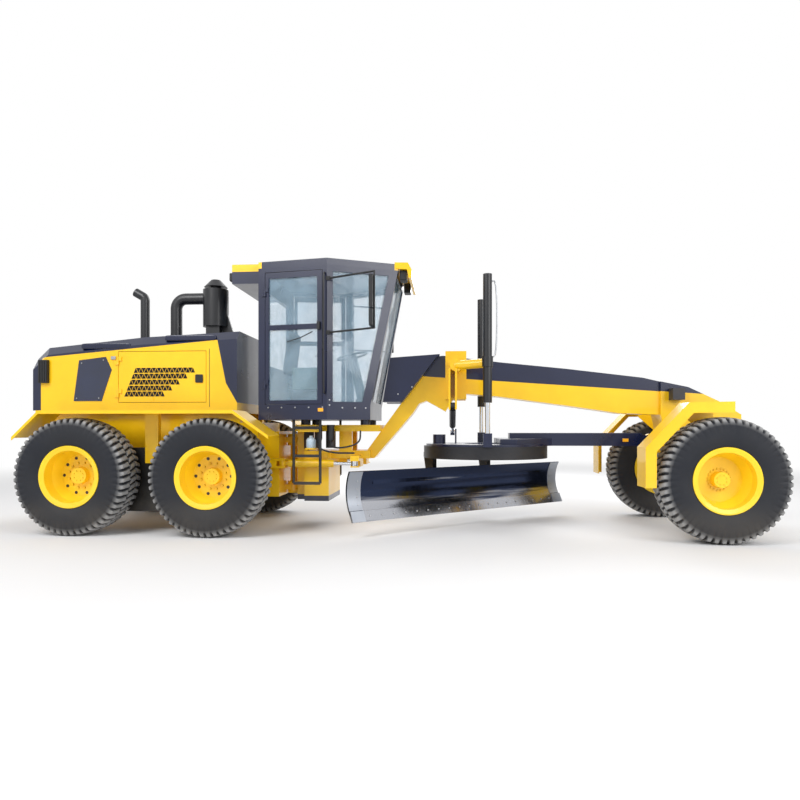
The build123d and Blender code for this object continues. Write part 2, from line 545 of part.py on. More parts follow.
def ball_socket():
    """Arm behind the axle with the ball and the cross pin that the drawbar lifts on."""
    socket = Pos(BALL_X, 0, BALL_Z) * Sphere(BALL_R)
    socket += box(BALL_X, f(-BRACKET_X - 10), -45, 45, BALL_Z - 55, BALL_Z + 55)
    reach = BALL_R + 45
    return socket + rod((BALL_X, -reach, BALL_Z), (BALL_X, reach, BALL_Z), BALL_PIN_R)


def saddle():
    """Yoke on the beam: a cross tube for both lift cylinders and an arm for the centre-shift cylinder."""
    x0, x1 = f(-2960), f(-2700)
    ring = box(x0, x1, -BEAM_HALF - 60, BEAM_HALF + 60, 1590, 2190)
    ring -= box(x0 - 10, x1 + 10, -BEAM_HALF - SLIP, BEAM_HALF + SLIP, 1500, 2145)
    arms = ring
    for side in (-1, 1):
        y = side * (BEAM_HALF + 50)
        arms += rod((f(-2830), y, 1990), (f(-2830), side * 480, 1990), 75)
        arms += rod((f(-2830), side * 440, 1990), (LIFT_X, side * 600, LIFT_TRUNNION_Z), 55)
        trunnion = rod((LIFT_X, side * 560, LIFT_TRUNNION_Z),
                       (LIFT_X, side * (LIFT_Y - CYL["lift"]["barrel"] - COLLAR_T - SLIP), LIFT_TRUNNION_Z), 45)
        arms += trunnion
    x, y, z = CENTRE_TOP
    half = CYL["shift"]["width"] / 2 + SLIP
    for edge in (x - half - 22, x + half):
        arms += slab_x([(y - 45, z - 45), (y + 35, z - 45), (y + 35, z + 35), (-BEAM_HALF - 40, z + 120),
                        (-BEAM_HALF - 40, 1950), (y - 45, 1950)], edge, edge + 22)
    arms += rod((x - half - 22, y, z), (x + half + 22, y, z), CYL["shift"]["pin"])
    return arms


# ================================================================ cab
def rake_x(z):
    """X of the windscreen's outer plane at a height."""
    return CAB_RAKE_X + (z - CAB_RAKE_Z) * (CAB_FRONT - CAB_RAKE_X) / (CAB_Z1 - CAB_RAKE_Z)


def cab_plan(inset):
    """Six-sided plan of the cab, moved inwards by inset."""
    plan = [(CAB_BACK, -CAB_BACK_HALF), (CAB_B, -CAB_B_HALF), (CAB_FRONT, -CAB_FRONT_HALF),
            (CAB_FRONT, CAB_FRONT_HALF), (CAB_B, CAB_B_HALF), (CAB_BACK, CAB_BACK_HALF)]
    face = make_face(Polyline(*plan, close=True))
    return offset(face, amount=-inset, kind=Kind.INTERSECTION) if inset else face


def cab_block(inset, z0, z1):
    """The cab's volume between two heights, with its windscreen leaning forward at the top."""
    block = Pos(0, 0, z0) * extrude(cab_plan(inset), amount=z1 - z0)
    far = CAB_FRONT + 900
    ahead = [(CAB_RAKE_X - inset, z0 - 10), (CAB_RAKE_X - inset, CAB_RAKE_Z), (rake_x(z1 + 10) - inset, z1 + 10),
             (far, z1 + 10), (far, z0 - 10)]
    return block - slab_y(ahead, -CAB_B_HALF - 50, CAB_B_HALF + 50)


def wall_plane(start, end):
    """A wall's plane: x along it, y inwards from its outer face, z up."""
    run = Vector(end[0] - start[0], end[1] - start[1], 0)
    return Plane(origin=(start[0], start[1], 0), x_dir=run, z_dir=(0, 0, 1))


def on_wall(start, end, along, depth, heights):
    """A block on a wall's plane: ranges along it, inwards from its outer face, and in height."""
    return wall_plane(start, end) * box(along[0], along[1], depth[0], depth[1], heights[0], heights[1])


SIDE_WALL = ((CAB_BACK, -CAB_BACK_HALF), (CAB_B, -CAB_B_HALF))
LEAD_WALL = ((CAB_B, -CAB_B_HALF), (CAB_FRONT, -CAB_FRONT_HALF))
REAR_WALL = ((CAB_BACK, CAB_BACK_HALF), (CAB_BACK, -CAB_BACK_HALF))
SIDE_LEN = Vector(CAB_B - CAB_BACK, CAB_BACK_HALF - CAB_B_HALF, 0).length
LEAD_LEN = Vector(CAB_FRONT - CAB_B, CAB_B_HALF - CAB_FRONT_HALF, 0).length
THROUGH = (-60, CAB_WALL + 60)


def screen_block(z0, z1, half, front, back):
    """A block along the leaning windscreen, between two offsets from its outer plane."""
    outline = [(rake_x(z0) + front, z0), (rake_x(z1) + front, z1), (rake_x(z1) - back, z1), (rake_x(z0) - back, z0)]
    return slab_y(outline, -half, half)


def lead_window(depth, inset):
    """The slanted side window ahead of the B pillar; its front edge follows the windscreen."""
    z0, z1 = CAB_DOOR_Z0 + 30 + inset, CAB_DOOR_Z1 - 20 - inset
    pane = on_wall(*LEAD_WALL, (70 + inset, LEAD_LEN), depth, (z0, z1))
    cut = 95 + inset
    ahead = [(rake_x(z0 - 20) - cut, z0 - 20), (rake_x(z1 + 20) - cut, z1 + 20),
             (CAB_FRONT + 900, z1 + 20), (CAB_FRONT + 900, z0 - 20)]
    return pane - slab_y(ahead, -CAB_B_HALF - 100, 0)


def cab_shell():
    """Hollow cab body with its floor, two doorways and all window openings cut."""
    shell = cab_block(0, CAB_Z0, CAB_Z1) - cab_block(CAB_WALL, CAB_FLOOR, CAB_Z1 + 20)
    doorway = on_wall(*SIDE_WALL, (DOOR_EDGE, SIDE_LEN - DOOR_LEAD), THROUGH, (CAB_DOOR_Z0, CAB_DOOR_Z1))
    side_window = lead_window(THROUGH, 0)
    for opening in (doorway, side_window):
        shell -= opening + mirrored(opening)
    shell -= on_wall(*REAR_WALL, (120, 2 * CAB_BACK_HALF - 120), THROUGH, (2000, 2900))
    shell -= screen_block(CAB_DOOR_Z0 + 40, CAB_Z1 - 75, CAB_FRONT_HALF - 45, 100, 160)
    for x in (p(230), p(980)):
        for y in (-320, 320):
            shell += rod((x, y, MOUNT_Z1), (x, y, CAB_Z0 + 10), 60)
    for z in CAB_HINGES:
        half = fixed_hinge(wall_plane(*SIDE_WALL), DOOR_EDGE + SEAM / 2, z)
        shell += half + mirrored(half)
    return shell


def ladders():
    """Step frames hanging under the cab on both sides, three rungs each."""
    ladder = None
    for x in (LADDER_X0, LADDER_X1):
        post = rod((x, -LADDER_Y, LADDER_RUNGS[0]), (x, -LADDER_Y, CAB_Z0 - SLIP), LADDER_R)
        ladder = post if ladder is None else ladder + post
    for z in LADDER_RUNGS:
        half = LADDER_R - 3
        ladder += box(LADDER_X0, LADDER_X1, -LADDER_Y - half, -LADDER_Y + half, z - LADDER_R, z + LADDER_R)
    return ladder + mirrored(ladder)


def mirrors():
    """Tube loops from the B pillars, each with two mirror heads, one above the other."""
    root = (CAB_B + 25, -CAB_B_HALF - SLIP)
    x, y = p(1190), -1150
    arm = rod((x, y, MIRROR_LOW - MIRROR_TUBE + 4), (x, y, MIRROR_TOP + MIRROR_TUBE - 4), MIRROR_TUBE)
    for z in (MIRROR_TOP, MIRROR_LOW):
        arm += rod((root[0], root[1], z), (x, y, z), MIRROR_TUBE)
        arm += box(root[0] - 35, root[0] + 20, root[1] - 12, root[1], z - 22, z + 22)
    for z0, z1 in ((MIRROR_LOW + 215, MIRROR_TOP - 50), (MIRROR_LOW + 20, MIRROR_LOW + 200)):
        arm += box(x - 50, x - 8, y - 95, y + 95, z0, z1)
    return arm + mirrored(arm)


def cab_roof():
    """Roof slab with the air-conditioning box behind and the visor ahead."""
    roof = Pos(0, 0, CAB_Z1) * extrude(cab_plan(0), amount=ROOF_T)
    roof += box(p(-625), CAB_BACK - SLIP, -580, 580, 2990, CAB_Z1 + ROOF_T + 10)
    roof += box(CAB_BACK - 40, CAB_BACK + 40, -580, 580, CAB_Z1, CAB_Z1 + ROOF_T + 10)
    visor = [(CAB_FRONT - 40, CAB_Z1 + 20), (CAB_FRONT - 40, CAB_Z1 + ROOF_T + 20), (p(1520), CAB_Z1 + ROOF_T + 15),
             (p(1568), CAB_Z1), (p(1564), 3045), (p(1530), 3045), (p(1510), CAB_Z1 + 10)]
    return roof + slab_y(visor, -CAB_FRONT_HALF - 20, CAB_FRONT_HALF + 20)


def cab_door():
    """Right door, framed around an upper and a lower pane, hinged at its rear edge."""
    a0, a1 = DOOR_EDGE + SEAM, SIDE_LEN - DOOR_LEAD - SEAM
    z0, z1 = CAB_DOOR_Z0 + SEAM, CAB_DOOR_Z1 - SEAM
    door = on_wall(*SIDE_WALL, (a0, a1), (0, 40), (z0, z1))
    for low, high in DOOR_PANES:
        door -= on_wall(*SIDE_WALL, (a0 + 45, a1 - 60), THROUGH, (low, high))
    for z in CAB_HINGES:
        door += door_hinge(wall_plane(*SIDE_WALL), DOOR_EDGE + SEAM / 2, z)
    return door


def door_glass():
    """The two panes of the right door."""
    a0, a1 = DOOR_EDGE + SEAM + 45 + SLIP, SIDE_LEN - DOOR_LEAD - SEAM - 60 - SLIP
    panes = [on_wall(*SIDE_WALL, (a0, a1), (16, 16 + GLASS_T), (low + SLIP, high - SLIP)) for low, high in DOOR_PANES]
    return panes[0] + panes[1]


def cab_glass():
    """Windscreen, slanted side panes and rear pane, each seated in its opening."""
    side = lead_window((16, 16 + GLASS_T), SLIP)
    screen = screen_block(CAB_DOOR_Z0 + 40 + SLIP, CAB_Z1 - 75 - SLIP, CAB_FRONT_HALF - 45 - SLIP, -10, 10 + GLASS_T)
    rear = on_wall(*REAR_WALL, (120 + SLIP, 2 * CAB_BACK_HALF - 120 - SLIP), (16, 16 + GLASS_T),
                   (2000 + SLIP, 2900 - SLIP))
    return side + mirrored(side) + screen + rear


def operator_seat():
    """Seat on its pedestal."""
    seat = box(p(-20), p(230), -170, 170, CAB_FLOOR, 1750)
    seat += box(p(-70), p(430), -250, 250, 1750, 1880)
    seat += slab_y([(p(-70), 1870), (p(40), 1870), (p(-30), 2500), (p(-130), 2500)], -240, 240)
    return seat


def steering_console():
    """Pedestal with the steering column and wheel."""
    base = box(p(830), p(980), -130, 130, CAB_FLOOR, 1600)
    column = rod((p(900), 0, 1560), (p(770), 0, 2150), 60)
    wheel = Plane(origin=(p(765), 0, 2160), z_dir=(-0.22, 0, 1)) * Torus(190, 14)
    hub = rod((p(772), 0, 2140), (p(764), 0, 2175), 55)
    spoke = Plane(origin=(p(765), 0, 2160), z_dir=(-0.22, 0, 1)) * Box(30, 380, 12)
    return base + column + wheel + hub + spoke


def side_panels():
    """Dark covers on both sides of the gooseneck, ahead of the cab."""
    x0, x1 = p(1200), f(-3030)
    outline = [(x0 + share * (x1 - x0), z) for share, z in PANEL_OUTLINE]
    cover = slab_y(outline, -BEAM_HALF - PANEL_T, -BEAM_HALF - SLIP)
    return cover + mirrored(cover)


def hydraulic_gear():
    """Two accumulators and a bottle under the cab, and the valve block on the nose."""
    gear = box(f(-250), f(-110), -NOSE_HALF - 150, -NOSE_HALF - SLIP, 1570, 1710)
    for x, r, z0 in HANGING_BOTTLES:
        gear += rod((p(x), -BOTTLE_Y, z0), (p(x), -BOTTLE_Y, MOUNT_Z0 - SLIP), r)
    return gear


# ================================================================ cylinders
def eye(kind, centre, pin_axis):
    """A ring for a pin: radius and width by kind."""
    c = CYL[kind]
    half = Vector(*pin_axis) * (c["width"] / 2)
    ends = (Vector(*centre) - half, Vector(*centre) + half)
    return rod(ends[0], ends[1], c["eye"]), rod(ends[0] - half, ends[1] + half, c["pin"] + FIT)


def toward(start, end, distance):
    """The point at a distance from start on the way to end."""
    step = (Vector(*end) - Vector(*start)).normalized() * distance
    return tuple(Vector(*start) + step)


def barrel(kind, base, end, length, pin_axis):
    """Barrel from the base eye towards the rod's end, with an open bore."""
    c = CYL[kind]
    ring, hole = eye(kind, base, pin_axis)
    neck = c["eye"] + NECK_REACH
    body = rod(base, toward(base, end, neck + 5), c["width"] / 2 - 2) + ring - hole
    body += rod(toward(base, end, neck), toward(base, end, length), c["barrel"])
    return body - rod(toward(base, end, neck + 25), toward(base, end, length + 5), c["rod"] + FIT)


def piston_rod(kind, base, end, inner, pin_axis):
    """Rod from a point inside the barrel to its eye, which is closed by its bearing."""
    ring, _ = eye(kind, end, pin_axis)
    return rod(toward(base, end, inner), end, CYL[kind]["rod"]) + ring


def articulation_barrel():
    """Right articulation cylinder's barrel, pinned to the rear frame."""
    return barrel("steer", ART_BASE, ART_END, ART_BARREL, (0, 0, 1))


def articulation_rod():
    """Right articulation cylinder's rod, pinned to the front frame."""
    return piston_rod("steer", ART_BASE, ART_END, ART_INNER, (0, 0, 1))


def lift_barrel():
    """Right blade lift cylinder, held in the saddle's collar."""
    c = CYL["lift"]
    x, y = LIFT_X, -LIFT_Y
    tube = rod((x, y, LIFT_FOOT), (x, y, LIFT_TOP), c["barrel"])
    tube += rod((x, y, LIFT_TRUNNION_Z - 60), (x, y, LIFT_TRUNNION_Z + 60), c["barrel"] + COLLAR_T)
    return tube - rod((x, y, LIFT_FOOT - 5), (x, y, LIFT_TOP - 30), c["rod"] + FIT)


def lift_rod():
    """Right blade lift rod; its eye and pin sit between the drawbar's ears."""
    foot, top = (LIFT_X, -LIFT_Y, LIFT_EYE_Z), (LIFT_X, -LIFT_Y, LIFT_TOP)
    return piston_rod("lift", top, foot, LIFT_TOP - LIFT_FOOT - LIFT_INSIDE, (0, 1, 0))


def centre_barrel():
    """Centre-shift cylinder's barrel, pinned to the saddle's arm."""
    return barrel("shift", CENTRE_TOP, CENTRE_END, CENTRE_BARREL, (1, 0, 0))


def centre_rod():
    """Centre-shift cylinder's rod; its eye sits beside the drawbar's ear."""
    return piston_rod("shift", CENTRE_TOP, CENTRE_END, CENTRE_INNER, (1, 0, 0))


# ================================================================ drawbar, circle and blade
def drawbar():
    """Box beam from the ball pin to the plate over the circle, with ears for the cylinders."""
    plate_top = DRAWBAR_Z0 + PLATE
    bar = box(CIRCLE_X + 300, BALL_X - 110, -DRAWBAR_HALF, DRAWBAR_HALF, DRAWBAR_Z0, DRAWBAR_Z1)
    bar += rod((CIRCLE_X, 0, DRAWBAR_Z0), (CIRCLE_X, 0, plate_top), RING_R - 30)
    lift_gap = CYL["lift"]["width"] / 2 + SLIP
    for side in (-1, 1):
        near, far = side * (BALL_R + 5), side * (BALL_R + 45)
        bar += box(BALL_X - 120, BALL_X + 45, near, far, BALL_Z - 60, BALL_Z + 60)
        bar -= rod((BALL_X, near, BALL_Z), (BALL_X, far, BALL_Z), BALL_PIN_R + FIT)
        brace = [(CIRCLE_X + 900, side * 30), (CIRCLE_X + 350, side * 560), (CIRCLE_X + 150, side * 560),
                 (CIRCLE_X + 150, side * 30)]
        bar += slab_z(brace, DRAWBAR_Z0, DRAWBAR_Z0 + 90)
        bar += box(LIFT_X - 50, LIFT_X + 50, side * (RING_R - 250), side * (LIFT_Y + lift_gap + 20),
                   DRAWBAR_Z0, plate_top)
        for y in (LIFT_Y - lift_gap - 20, LIFT_Y + lift_gap):
            bar += box(LIFT_X - 50, LIFT_X + 50, side * y, side * (y + 20), DRAWBAR_Z0, LIFT_EYE_Z + 45)
    x, y, z = CENTRE_END
    ear = x + CYL["shift"]["width"] / 2 + EAR_ROOM
    bar += box(ear, ear + 20, y - 50, y + 50, DRAWBAR_Z0, z + 45)
    bar -= rod((CIRCLE_X, 0, DRAWBAR_Z0 - 5), (CIRCLE_X, 0, plate_top + 5), 260)
    drive = rod((CIRCLE_X - 580, 0, DRAWBAR_Z0), (CIRCLE_X - 580, 0, DRIVE_TOP), 80)
    return bar + drive


def blade_frame():
    """Plane through the blade's middle: x along the blade to its left end, y to the rear, z up."""
    angle = radians(BLADE_ANGLE)
    back = Vector(-cos(angle), sin(angle), 0)
    origin = Vector(CIRCLE_X, 0, 0) + back * BLADE_BACK
    return Plane(origin=origin, x_dir=(sin(angle), cos(angle), 0), z_dir=(0, 0, 1))


def circle():
    """Turning ring under the drawbar with two legs that reach down behind the blade."""
    ring = rod((CIRCLE_X, 0, RING_Z0), (CIRCLE_X, 0, RING_Z1), RING_R)
    ring -= rod((CIRCLE_X, 0, RING_Z0 - 5), (CIRCLE_X, 0, RING_Z1 + 5), RING_IN)
    y0, y1 = (y - BLADE_BACK for y in LEG_TOP)
    outline = [(y0, RING_Z0 + 20), (y1, RING_Z0 + 20), (TILT_Y + 90, TILT_Z - 60), (TILT_Y - 33, TILT_Z - 60),
               (TILT_Y - 33, TILT_Z + 30), (y0, TILT_Z + 120)]
    place = blade_frame()
    for side in (-1, 1):
        x0, x1 = side * LEG_OFFSET - LEG_T / 2, side * LEG_OFFSET + LEG_T / 2
        leg = slab_x(outline, x0, x1) + box(x0, x1, LEG_PLATE_Y - BLADE_BACK, y1, RING_Z0, RING_Z0 + 60)
        leg -= rod((x0 - 5, TILT_Y, TILT_Z), (x1 + 5, TILT_Y, TILT_Z), TILT_PIN_R + FIT)
        ring += place * leg
    return ring


def blade_carrier():
    """Tilting carrier: a cross tube on the legs' pins and two guides that hold the blade's rails."""
    inside = LEG_OFFSET - LEG_T / 2 - SLIP
    pin = LEG_OFFSET + LEG_T / 2
    carrier = rod((-pin, TILT_Y, TILT_Z), (pin, TILT_Y, TILT_Z), TILT_PIN_R)
    carrier += rod((-inside, TILT_Y, TILT_Z), (inside, TILT_Y, TILT_Z), 42)
    high = RAIL_HEIGHTS[1]
    for side in (-1, 1):
        x = side * (inside - 60)
        carrier += box(x - 20, x + 20, RAIL_BACK + 10, TILT_Y + 50, TILT_Z - 30, high + RAIL_H / 2 + 18)
    for z in RAIL_HEIGHTS:
        guide = box(-inside, inside, RAIL_BACK - RAIL_D, RAIL_BACK + 20, z - RAIL_H / 2 - 18, z + RAIL_H / 2 + 18)
        guide -= box(-inside - 10, inside + 10, RAIL_BACK - RAIL_D - 10, RAIL_BACK + SLIP,
                     z - RAIL_H / 2 - SLIP, z + RAIL_H / 2 + SLIP)
        carrier += guide
    return blade_frame() * carrier


def moldboard():
    """Curved blade with two slide rails on its back and an edge along its foot."""
    half = BLADE_LEN / 2
    foot, mid = BLADE_Z0 + 60, (BLADE_Z0 + BLADE_Z1) / 2 + 20
    front = [(-half, 0.0, foot), (-half, BLADE_SAG, mid), (-half, 30.0, BLADE_Z1)]
    back = [(x, y + BLADE_T, z) for x, y, z in front]
    outline = ThreePointArc(*front) + Line(front[2], back[2]) + ThreePointArc(*reversed(back)) + Line(back[0], front[0])
    board = extrude(make_face(outline), amount=BLADE_LEN, dir=(1, 0, 0))
    board += slab_x([(-28, BLADE_Z0), (-10, BLADE_Z0), (52, BLADE_Z0 + 120), (26, BLADE_Z0 + 120)], -half, half)
    for z in RAIL_HEIGHTS:
        reach = half - 350
        board += box(-reach, reach, BLADE_SAG - 15, RAIL_BACK, z - RAIL_H / 2, z + RAIL_H / 2)
    return blade_frame() * Pos(BLADE_SHIFT, 0, 0) * board


# ================================================================ front axle
def axle_beam():
    """Beam that rocks on the nose's pin, with forked ends for the lean brackets."""
    end = LEAN_Y - BEAM_GAP
    beam = slab_x([(-end, LEAN_Z - 60), (-end, LEAN_Z + 60), (-180, AXLE_PIN_Z + 75), (180, AXLE_PIN_Z + 75),
                   (end, LEAN_Z + 60), (end, LEAN_Z - 60), (200, LEAN_Z - 40), (-200, LEAN_Z - 40)],
                  f(-BEAM_HALF_X), f(BEAM_HALF_X))
    beam -= rod((f(-BEAM_HALF_X - 5), 0, AXLE_PIN_Z), (f(BEAM_HALF_X + 5), 0, AXLE_PIN_Z), AXLE_PIN_R + FIT)
    for side in (-1, 1):
        for x in (-BEAM_HALF_X, BEAM_HALF_X - EAR_T):
            beam += box(f(x), f(x + EAR_T), side * (end - 20), side * (LEAN_Y + 42), LEAN_Z - 45, LEAN_Z + 45)
        beam += rod((f(-BEAM_HALF_X), side * LEAN_Y, LEAN_Z), (f(BEAM_HALF_X), side * LEAN_Y, LEAN_Z), LEAN_PIN_R)
    return beam


def lean_bracket():
    """Right lean bracket: turns on the beam's end pin, carries the kingpin boss and the lean bar's pin."""
    half = BEAM_HALF_X - EAR_T - SLIP
    y = LEAN_Y
    boss_z0, boss_z1 = AXLE_Z - BOSS_HALF + 5, AXLE_Z + BOSS_HALF - 5
    outline = [(-y + 28, LEAN_Z - 28), (-y - 30, LEAN_Z - 38), (-y - 45, boss_z0), (-KING_Y, boss_z0),
               (-KING_Y, boss_z1), (-y - 27, boss_z1), (-y - 27, LEAN_BAR_Z + 30), (-y + 27, LEAN_BAR_Z + 30),
               (-y + 28, LEAN_Z + 28)]
    bracket = slab_x(outline, f(-half + 8), f(half - 8))
    bracket += rod((AXLE_X, -KING_Y, AXLE_Z - BOSS_HALF), (AXLE_X, -KING_Y, AXLE_Z + BOSS_HALF), BOSS_R)
    bracket += rod((f(-half), -y, LEAN_Z), (f(half), -y, LEAN_Z), 42)
    bracket -= rod((f(-half - 5), -y, LEAN_Z), (f(half + 5), -y, LEAN_Z), LEAN_PIN_R + FIT)
    bracket -= rod((AXLE_X, -KING_Y, AXLE_Z - 200), (AXLE_X, -KING_Y, AXLE_Z + 200), KING_R + FIT)
    pin_end = f(BEAM_HALF_X + 10 + LEAN_BAR_T)
    return bracket + rod((f(half - 10), -LEAN_Y, LEAN_BAR_Z), (pin_end, -LEAN_Y, LEAN_BAR_Z), 16)


def lean_bar():
    """Bar across the tops of both lean brackets, which keeps the wheels parallel."""
    x0 = f(BEAM_HALF_X + 10)
    bar = box(x0, x0 + LEAN_BAR_T, -LEAN_Y - 35, LEAN_Y + 35, LEAN_BAR_Z - 24, LEAN_BAR_Z + 24)
    for side in (-1, 1):
        bar -= rod((x0 - 5, side * LEAN_Y, LEAN_BAR_Z), (x0 + LEAN_BAR_T + 5, side * LEAN_Y, LEAN_BAR_Z), 16 + FIT)
    return bar


def knuckle():
    """Right steering knuckle: a yoke on the kingpin with its spindle, steering arm and mudguard."""
    out = BOSS_R + 10
    z0, z1 = AXLE_Z - BOSS_HALF - SLIP - EAR_T, AXLE_Z + BOSS_HALF + SLIP + EAR_T
    yoke = box(f(-60), f(60), -KING_Y - out - 50, -KING_Y - out, z0, z1)
    for low in (z0, z1 - EAR_T):
        yoke += box(f(-50), f(50), -KING_Y - out - 10, -KING_Y, low, low + EAR_T)
        yoke += rod((AXLE_X, -KING_Y, low), (AXLE_X, -KING_Y, low + EAR_T), 50)
    yoke += rod((AXLE_X, -KING_Y, z0), (AXLE_X, -KING_Y, z1), KING_R)
    arm = box(f(-ARM_REACH - 5), f(-30), -KING_Y - ARM_HALF, -KING_Y + ARM_HALF, ARM_Z0, ARM_Z1)
    yoke += arm & rod((AXLE_X, -KING_Y, ARM_Z0), (AXLE_X, -KING_Y, ARM_Z1), ARM_REACH)
    yoke += rod((AXLE_X, -KING_Y, ARM_Z0), (AXLE_X, -KING_Y, z0 + 5), 50)
    return yoke + spindle("front", AXLE_X, KING_Y + out + 40, -1) + mudguard()


def mudguard():
    """Bent strip behind and over the front wheel, with an outer lip and a stay inside the tyre."""
    outline = [(f(x), z) for x, z in GUARD_OUTLINE]
    (rear, foot), (_, low), (bend, high), (front, top) = GUARD_OUTLINE
    inner = [(f(rear + SHEET), foot), (f(rear + SHEET), low - 5), (f(bend), high - SHEET),
             (f(front), top - SHEET)]
    lip = [(f(rear + GUARD_LIP), foot), (f(rear + GUARD_LIP), low - 45), (f(bend + 45), high - GUARD_LIP),
           (f(front), top - GUARD_LIP)]
    guard = slab_y(outline + inner[::-1], -GUARD_OUT, -GUARD_IN)
    guard += slab_y(outline + lip[::-1], -GUARD_OUT, -GUARD_OUT + SHEET)
    inside = WHEEL_Y - TYRE_W / 2
    stay = slab_y([(f(-60), 760), (f(20), 760), (f(20), 1500 - SHEET), (f(-330), 1500 - SHEET), (f(-330), 1390),
                   (f(-60), 1150)], -inside + 12, -inside + 24)
    stay += box(f(-330), f(20), -GUARD_IN - 30, -inside + 24, 1480 - SHEET, 1507 - SHEET)
    return guard + stay


def tie_rod():
    """Rod that runs behind the ends of both steering arms."""
    x, z = f(-ARM_REACH - SLIP - TIE_R), (ARM_Z0 + ARM_Z1) / 2
    return rod((x, -TIE_HALF, z), (x, TIE_HALF, z), TIE_R)


# ================================================================ all pieces
WHEELS = {"rear": (t(-TANDEM_HALF), "rear"), "middle": (t(TANDEM_HALF), "rear"), "front": (AXLE_X, "front")}
PAIRS = {                              # right-hand pieces, mirrored for the left
    "tandem_case": tandem_case, "tandem_fender": tandem_fender, "engine_door": engine_door,
    "cab_door": cab_door, "cab_door_glass": door_glass, "articulation_barrel": articulation_barrel,
    "articulation_rod": articulation_rod, "lift_barrel": lift_barrel, "lift_rod": lift_rod,
    "lean_bracket": lean_bracket, "knuckle": knuckle,
}
SINGLES = {
    "rear_frame": rear_frame, "hood": hood, "rear_grille": rear_grille, "tail_lamps": tail_lamps,
    "engine_block": engine_block, "stacks": stacks, "ladders": ladders,
    "front_frame": front_frame, "saddle": saddle, "cab_shell": cab_shell, "cab_roof": cab_roof,
    "cab_glass": cab_glass, "mirrors": mirrors, "operator_seat": operator_seat,
    "steering_console": steering_console, "side_panels": side_panels, "hydraulic_gear": hydraulic_gear,
    "centre_barrel": centre_barrel, "centre_rod": centre_rod, "drawbar": drawbar, "turning_circle": circle,
    "blade_carrier": blade_carrier, "moldboard": moldboard, "axle_beam": axle_beam, "lean_bar": lean_bar,
    "tie_rod": tie_rod,
}


def write(name, shape):
    """Save one piece as parts/name.step."""
    export_step(shape, f"parts/{name}.step")


for name, make in SINGLES.items():
    write(name, make())
for name, make in PAIRS.items():
    right = make()
    write(name + "_right", right)
    write(name + "_left", mirrored(right))
for name, (x, kind) in WHEELS.items():
    for side, label in ((-1, "right"), (1, "left")):
        write(f"tyre_{name}_{label}", tyre(x, side))
        write(f"rim_{name}_{label}", rim(kind, x, side))
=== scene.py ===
"""Looks of a motor grader: finishes on its solids, and the finer pieces around them.

Every piece is in metres, in the machine's own frame: X forward, Y to its left, Z up.
"""

import bpy
import numpy as np
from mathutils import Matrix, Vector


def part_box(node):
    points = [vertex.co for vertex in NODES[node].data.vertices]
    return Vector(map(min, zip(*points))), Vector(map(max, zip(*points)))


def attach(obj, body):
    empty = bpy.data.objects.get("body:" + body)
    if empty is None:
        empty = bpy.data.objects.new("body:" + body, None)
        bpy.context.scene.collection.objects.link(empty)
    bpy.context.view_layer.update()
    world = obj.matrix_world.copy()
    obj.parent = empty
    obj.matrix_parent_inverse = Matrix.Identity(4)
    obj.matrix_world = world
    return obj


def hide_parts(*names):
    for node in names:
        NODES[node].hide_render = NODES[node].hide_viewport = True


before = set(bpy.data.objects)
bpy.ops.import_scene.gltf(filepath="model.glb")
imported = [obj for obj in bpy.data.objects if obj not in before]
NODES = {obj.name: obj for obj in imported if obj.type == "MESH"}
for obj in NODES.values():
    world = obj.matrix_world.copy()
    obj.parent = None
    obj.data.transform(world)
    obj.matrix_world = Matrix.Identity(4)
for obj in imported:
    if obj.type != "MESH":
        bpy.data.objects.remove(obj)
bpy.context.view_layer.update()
SIDES = (("right", -1.0), ("left", 1.0))


# ---------------------------------------------------------------- meshes from arrays
def mesh_piece(name, verts, faces, body, material, smooth=40.0):
    """One mesh object from arrays of corners and faces, which rides on a body."""
    mesh = bpy.data.meshes.new(name)
    corners = np.asarray(verts, float).reshape(-1, 3).tolist()
    mesh.from_pydata(corners, [], [list(map(int, q)) for q in faces])
    mesh.materials.append(material)
    mesh.update()
    piece = bpy.data.objects.new(name, mesh)
    bpy.context.scene.collection.objects.link(piece)
    if smooth:
        mesh.shade_smooth()
        mesh.set_sharp_from_angle(angle=np.radians(smooth))
    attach(piece, body)
    return piece


def grid_faces(nu, nv, wrap_u, wrap_v, start=0):
    """Quads of a grid whose corner (i, j) is number i * nv + j; a wrapped side joins its ends."""
    i = np.arange(nu if wrap_u else nu - 1)
    j = np.arange(nv if wrap_v else nv - 1)
    a, b = np.meshgrid(i, j, indexing="ij")
    a2, b2 = (a + 1) % nu, (b + 1) % nv
    quads = np.stack([a * nv + b, a2 * nv + b, a2 * nv + b2, a * nv + b2], -1)
    return quads.reshape(-1, 4) + start


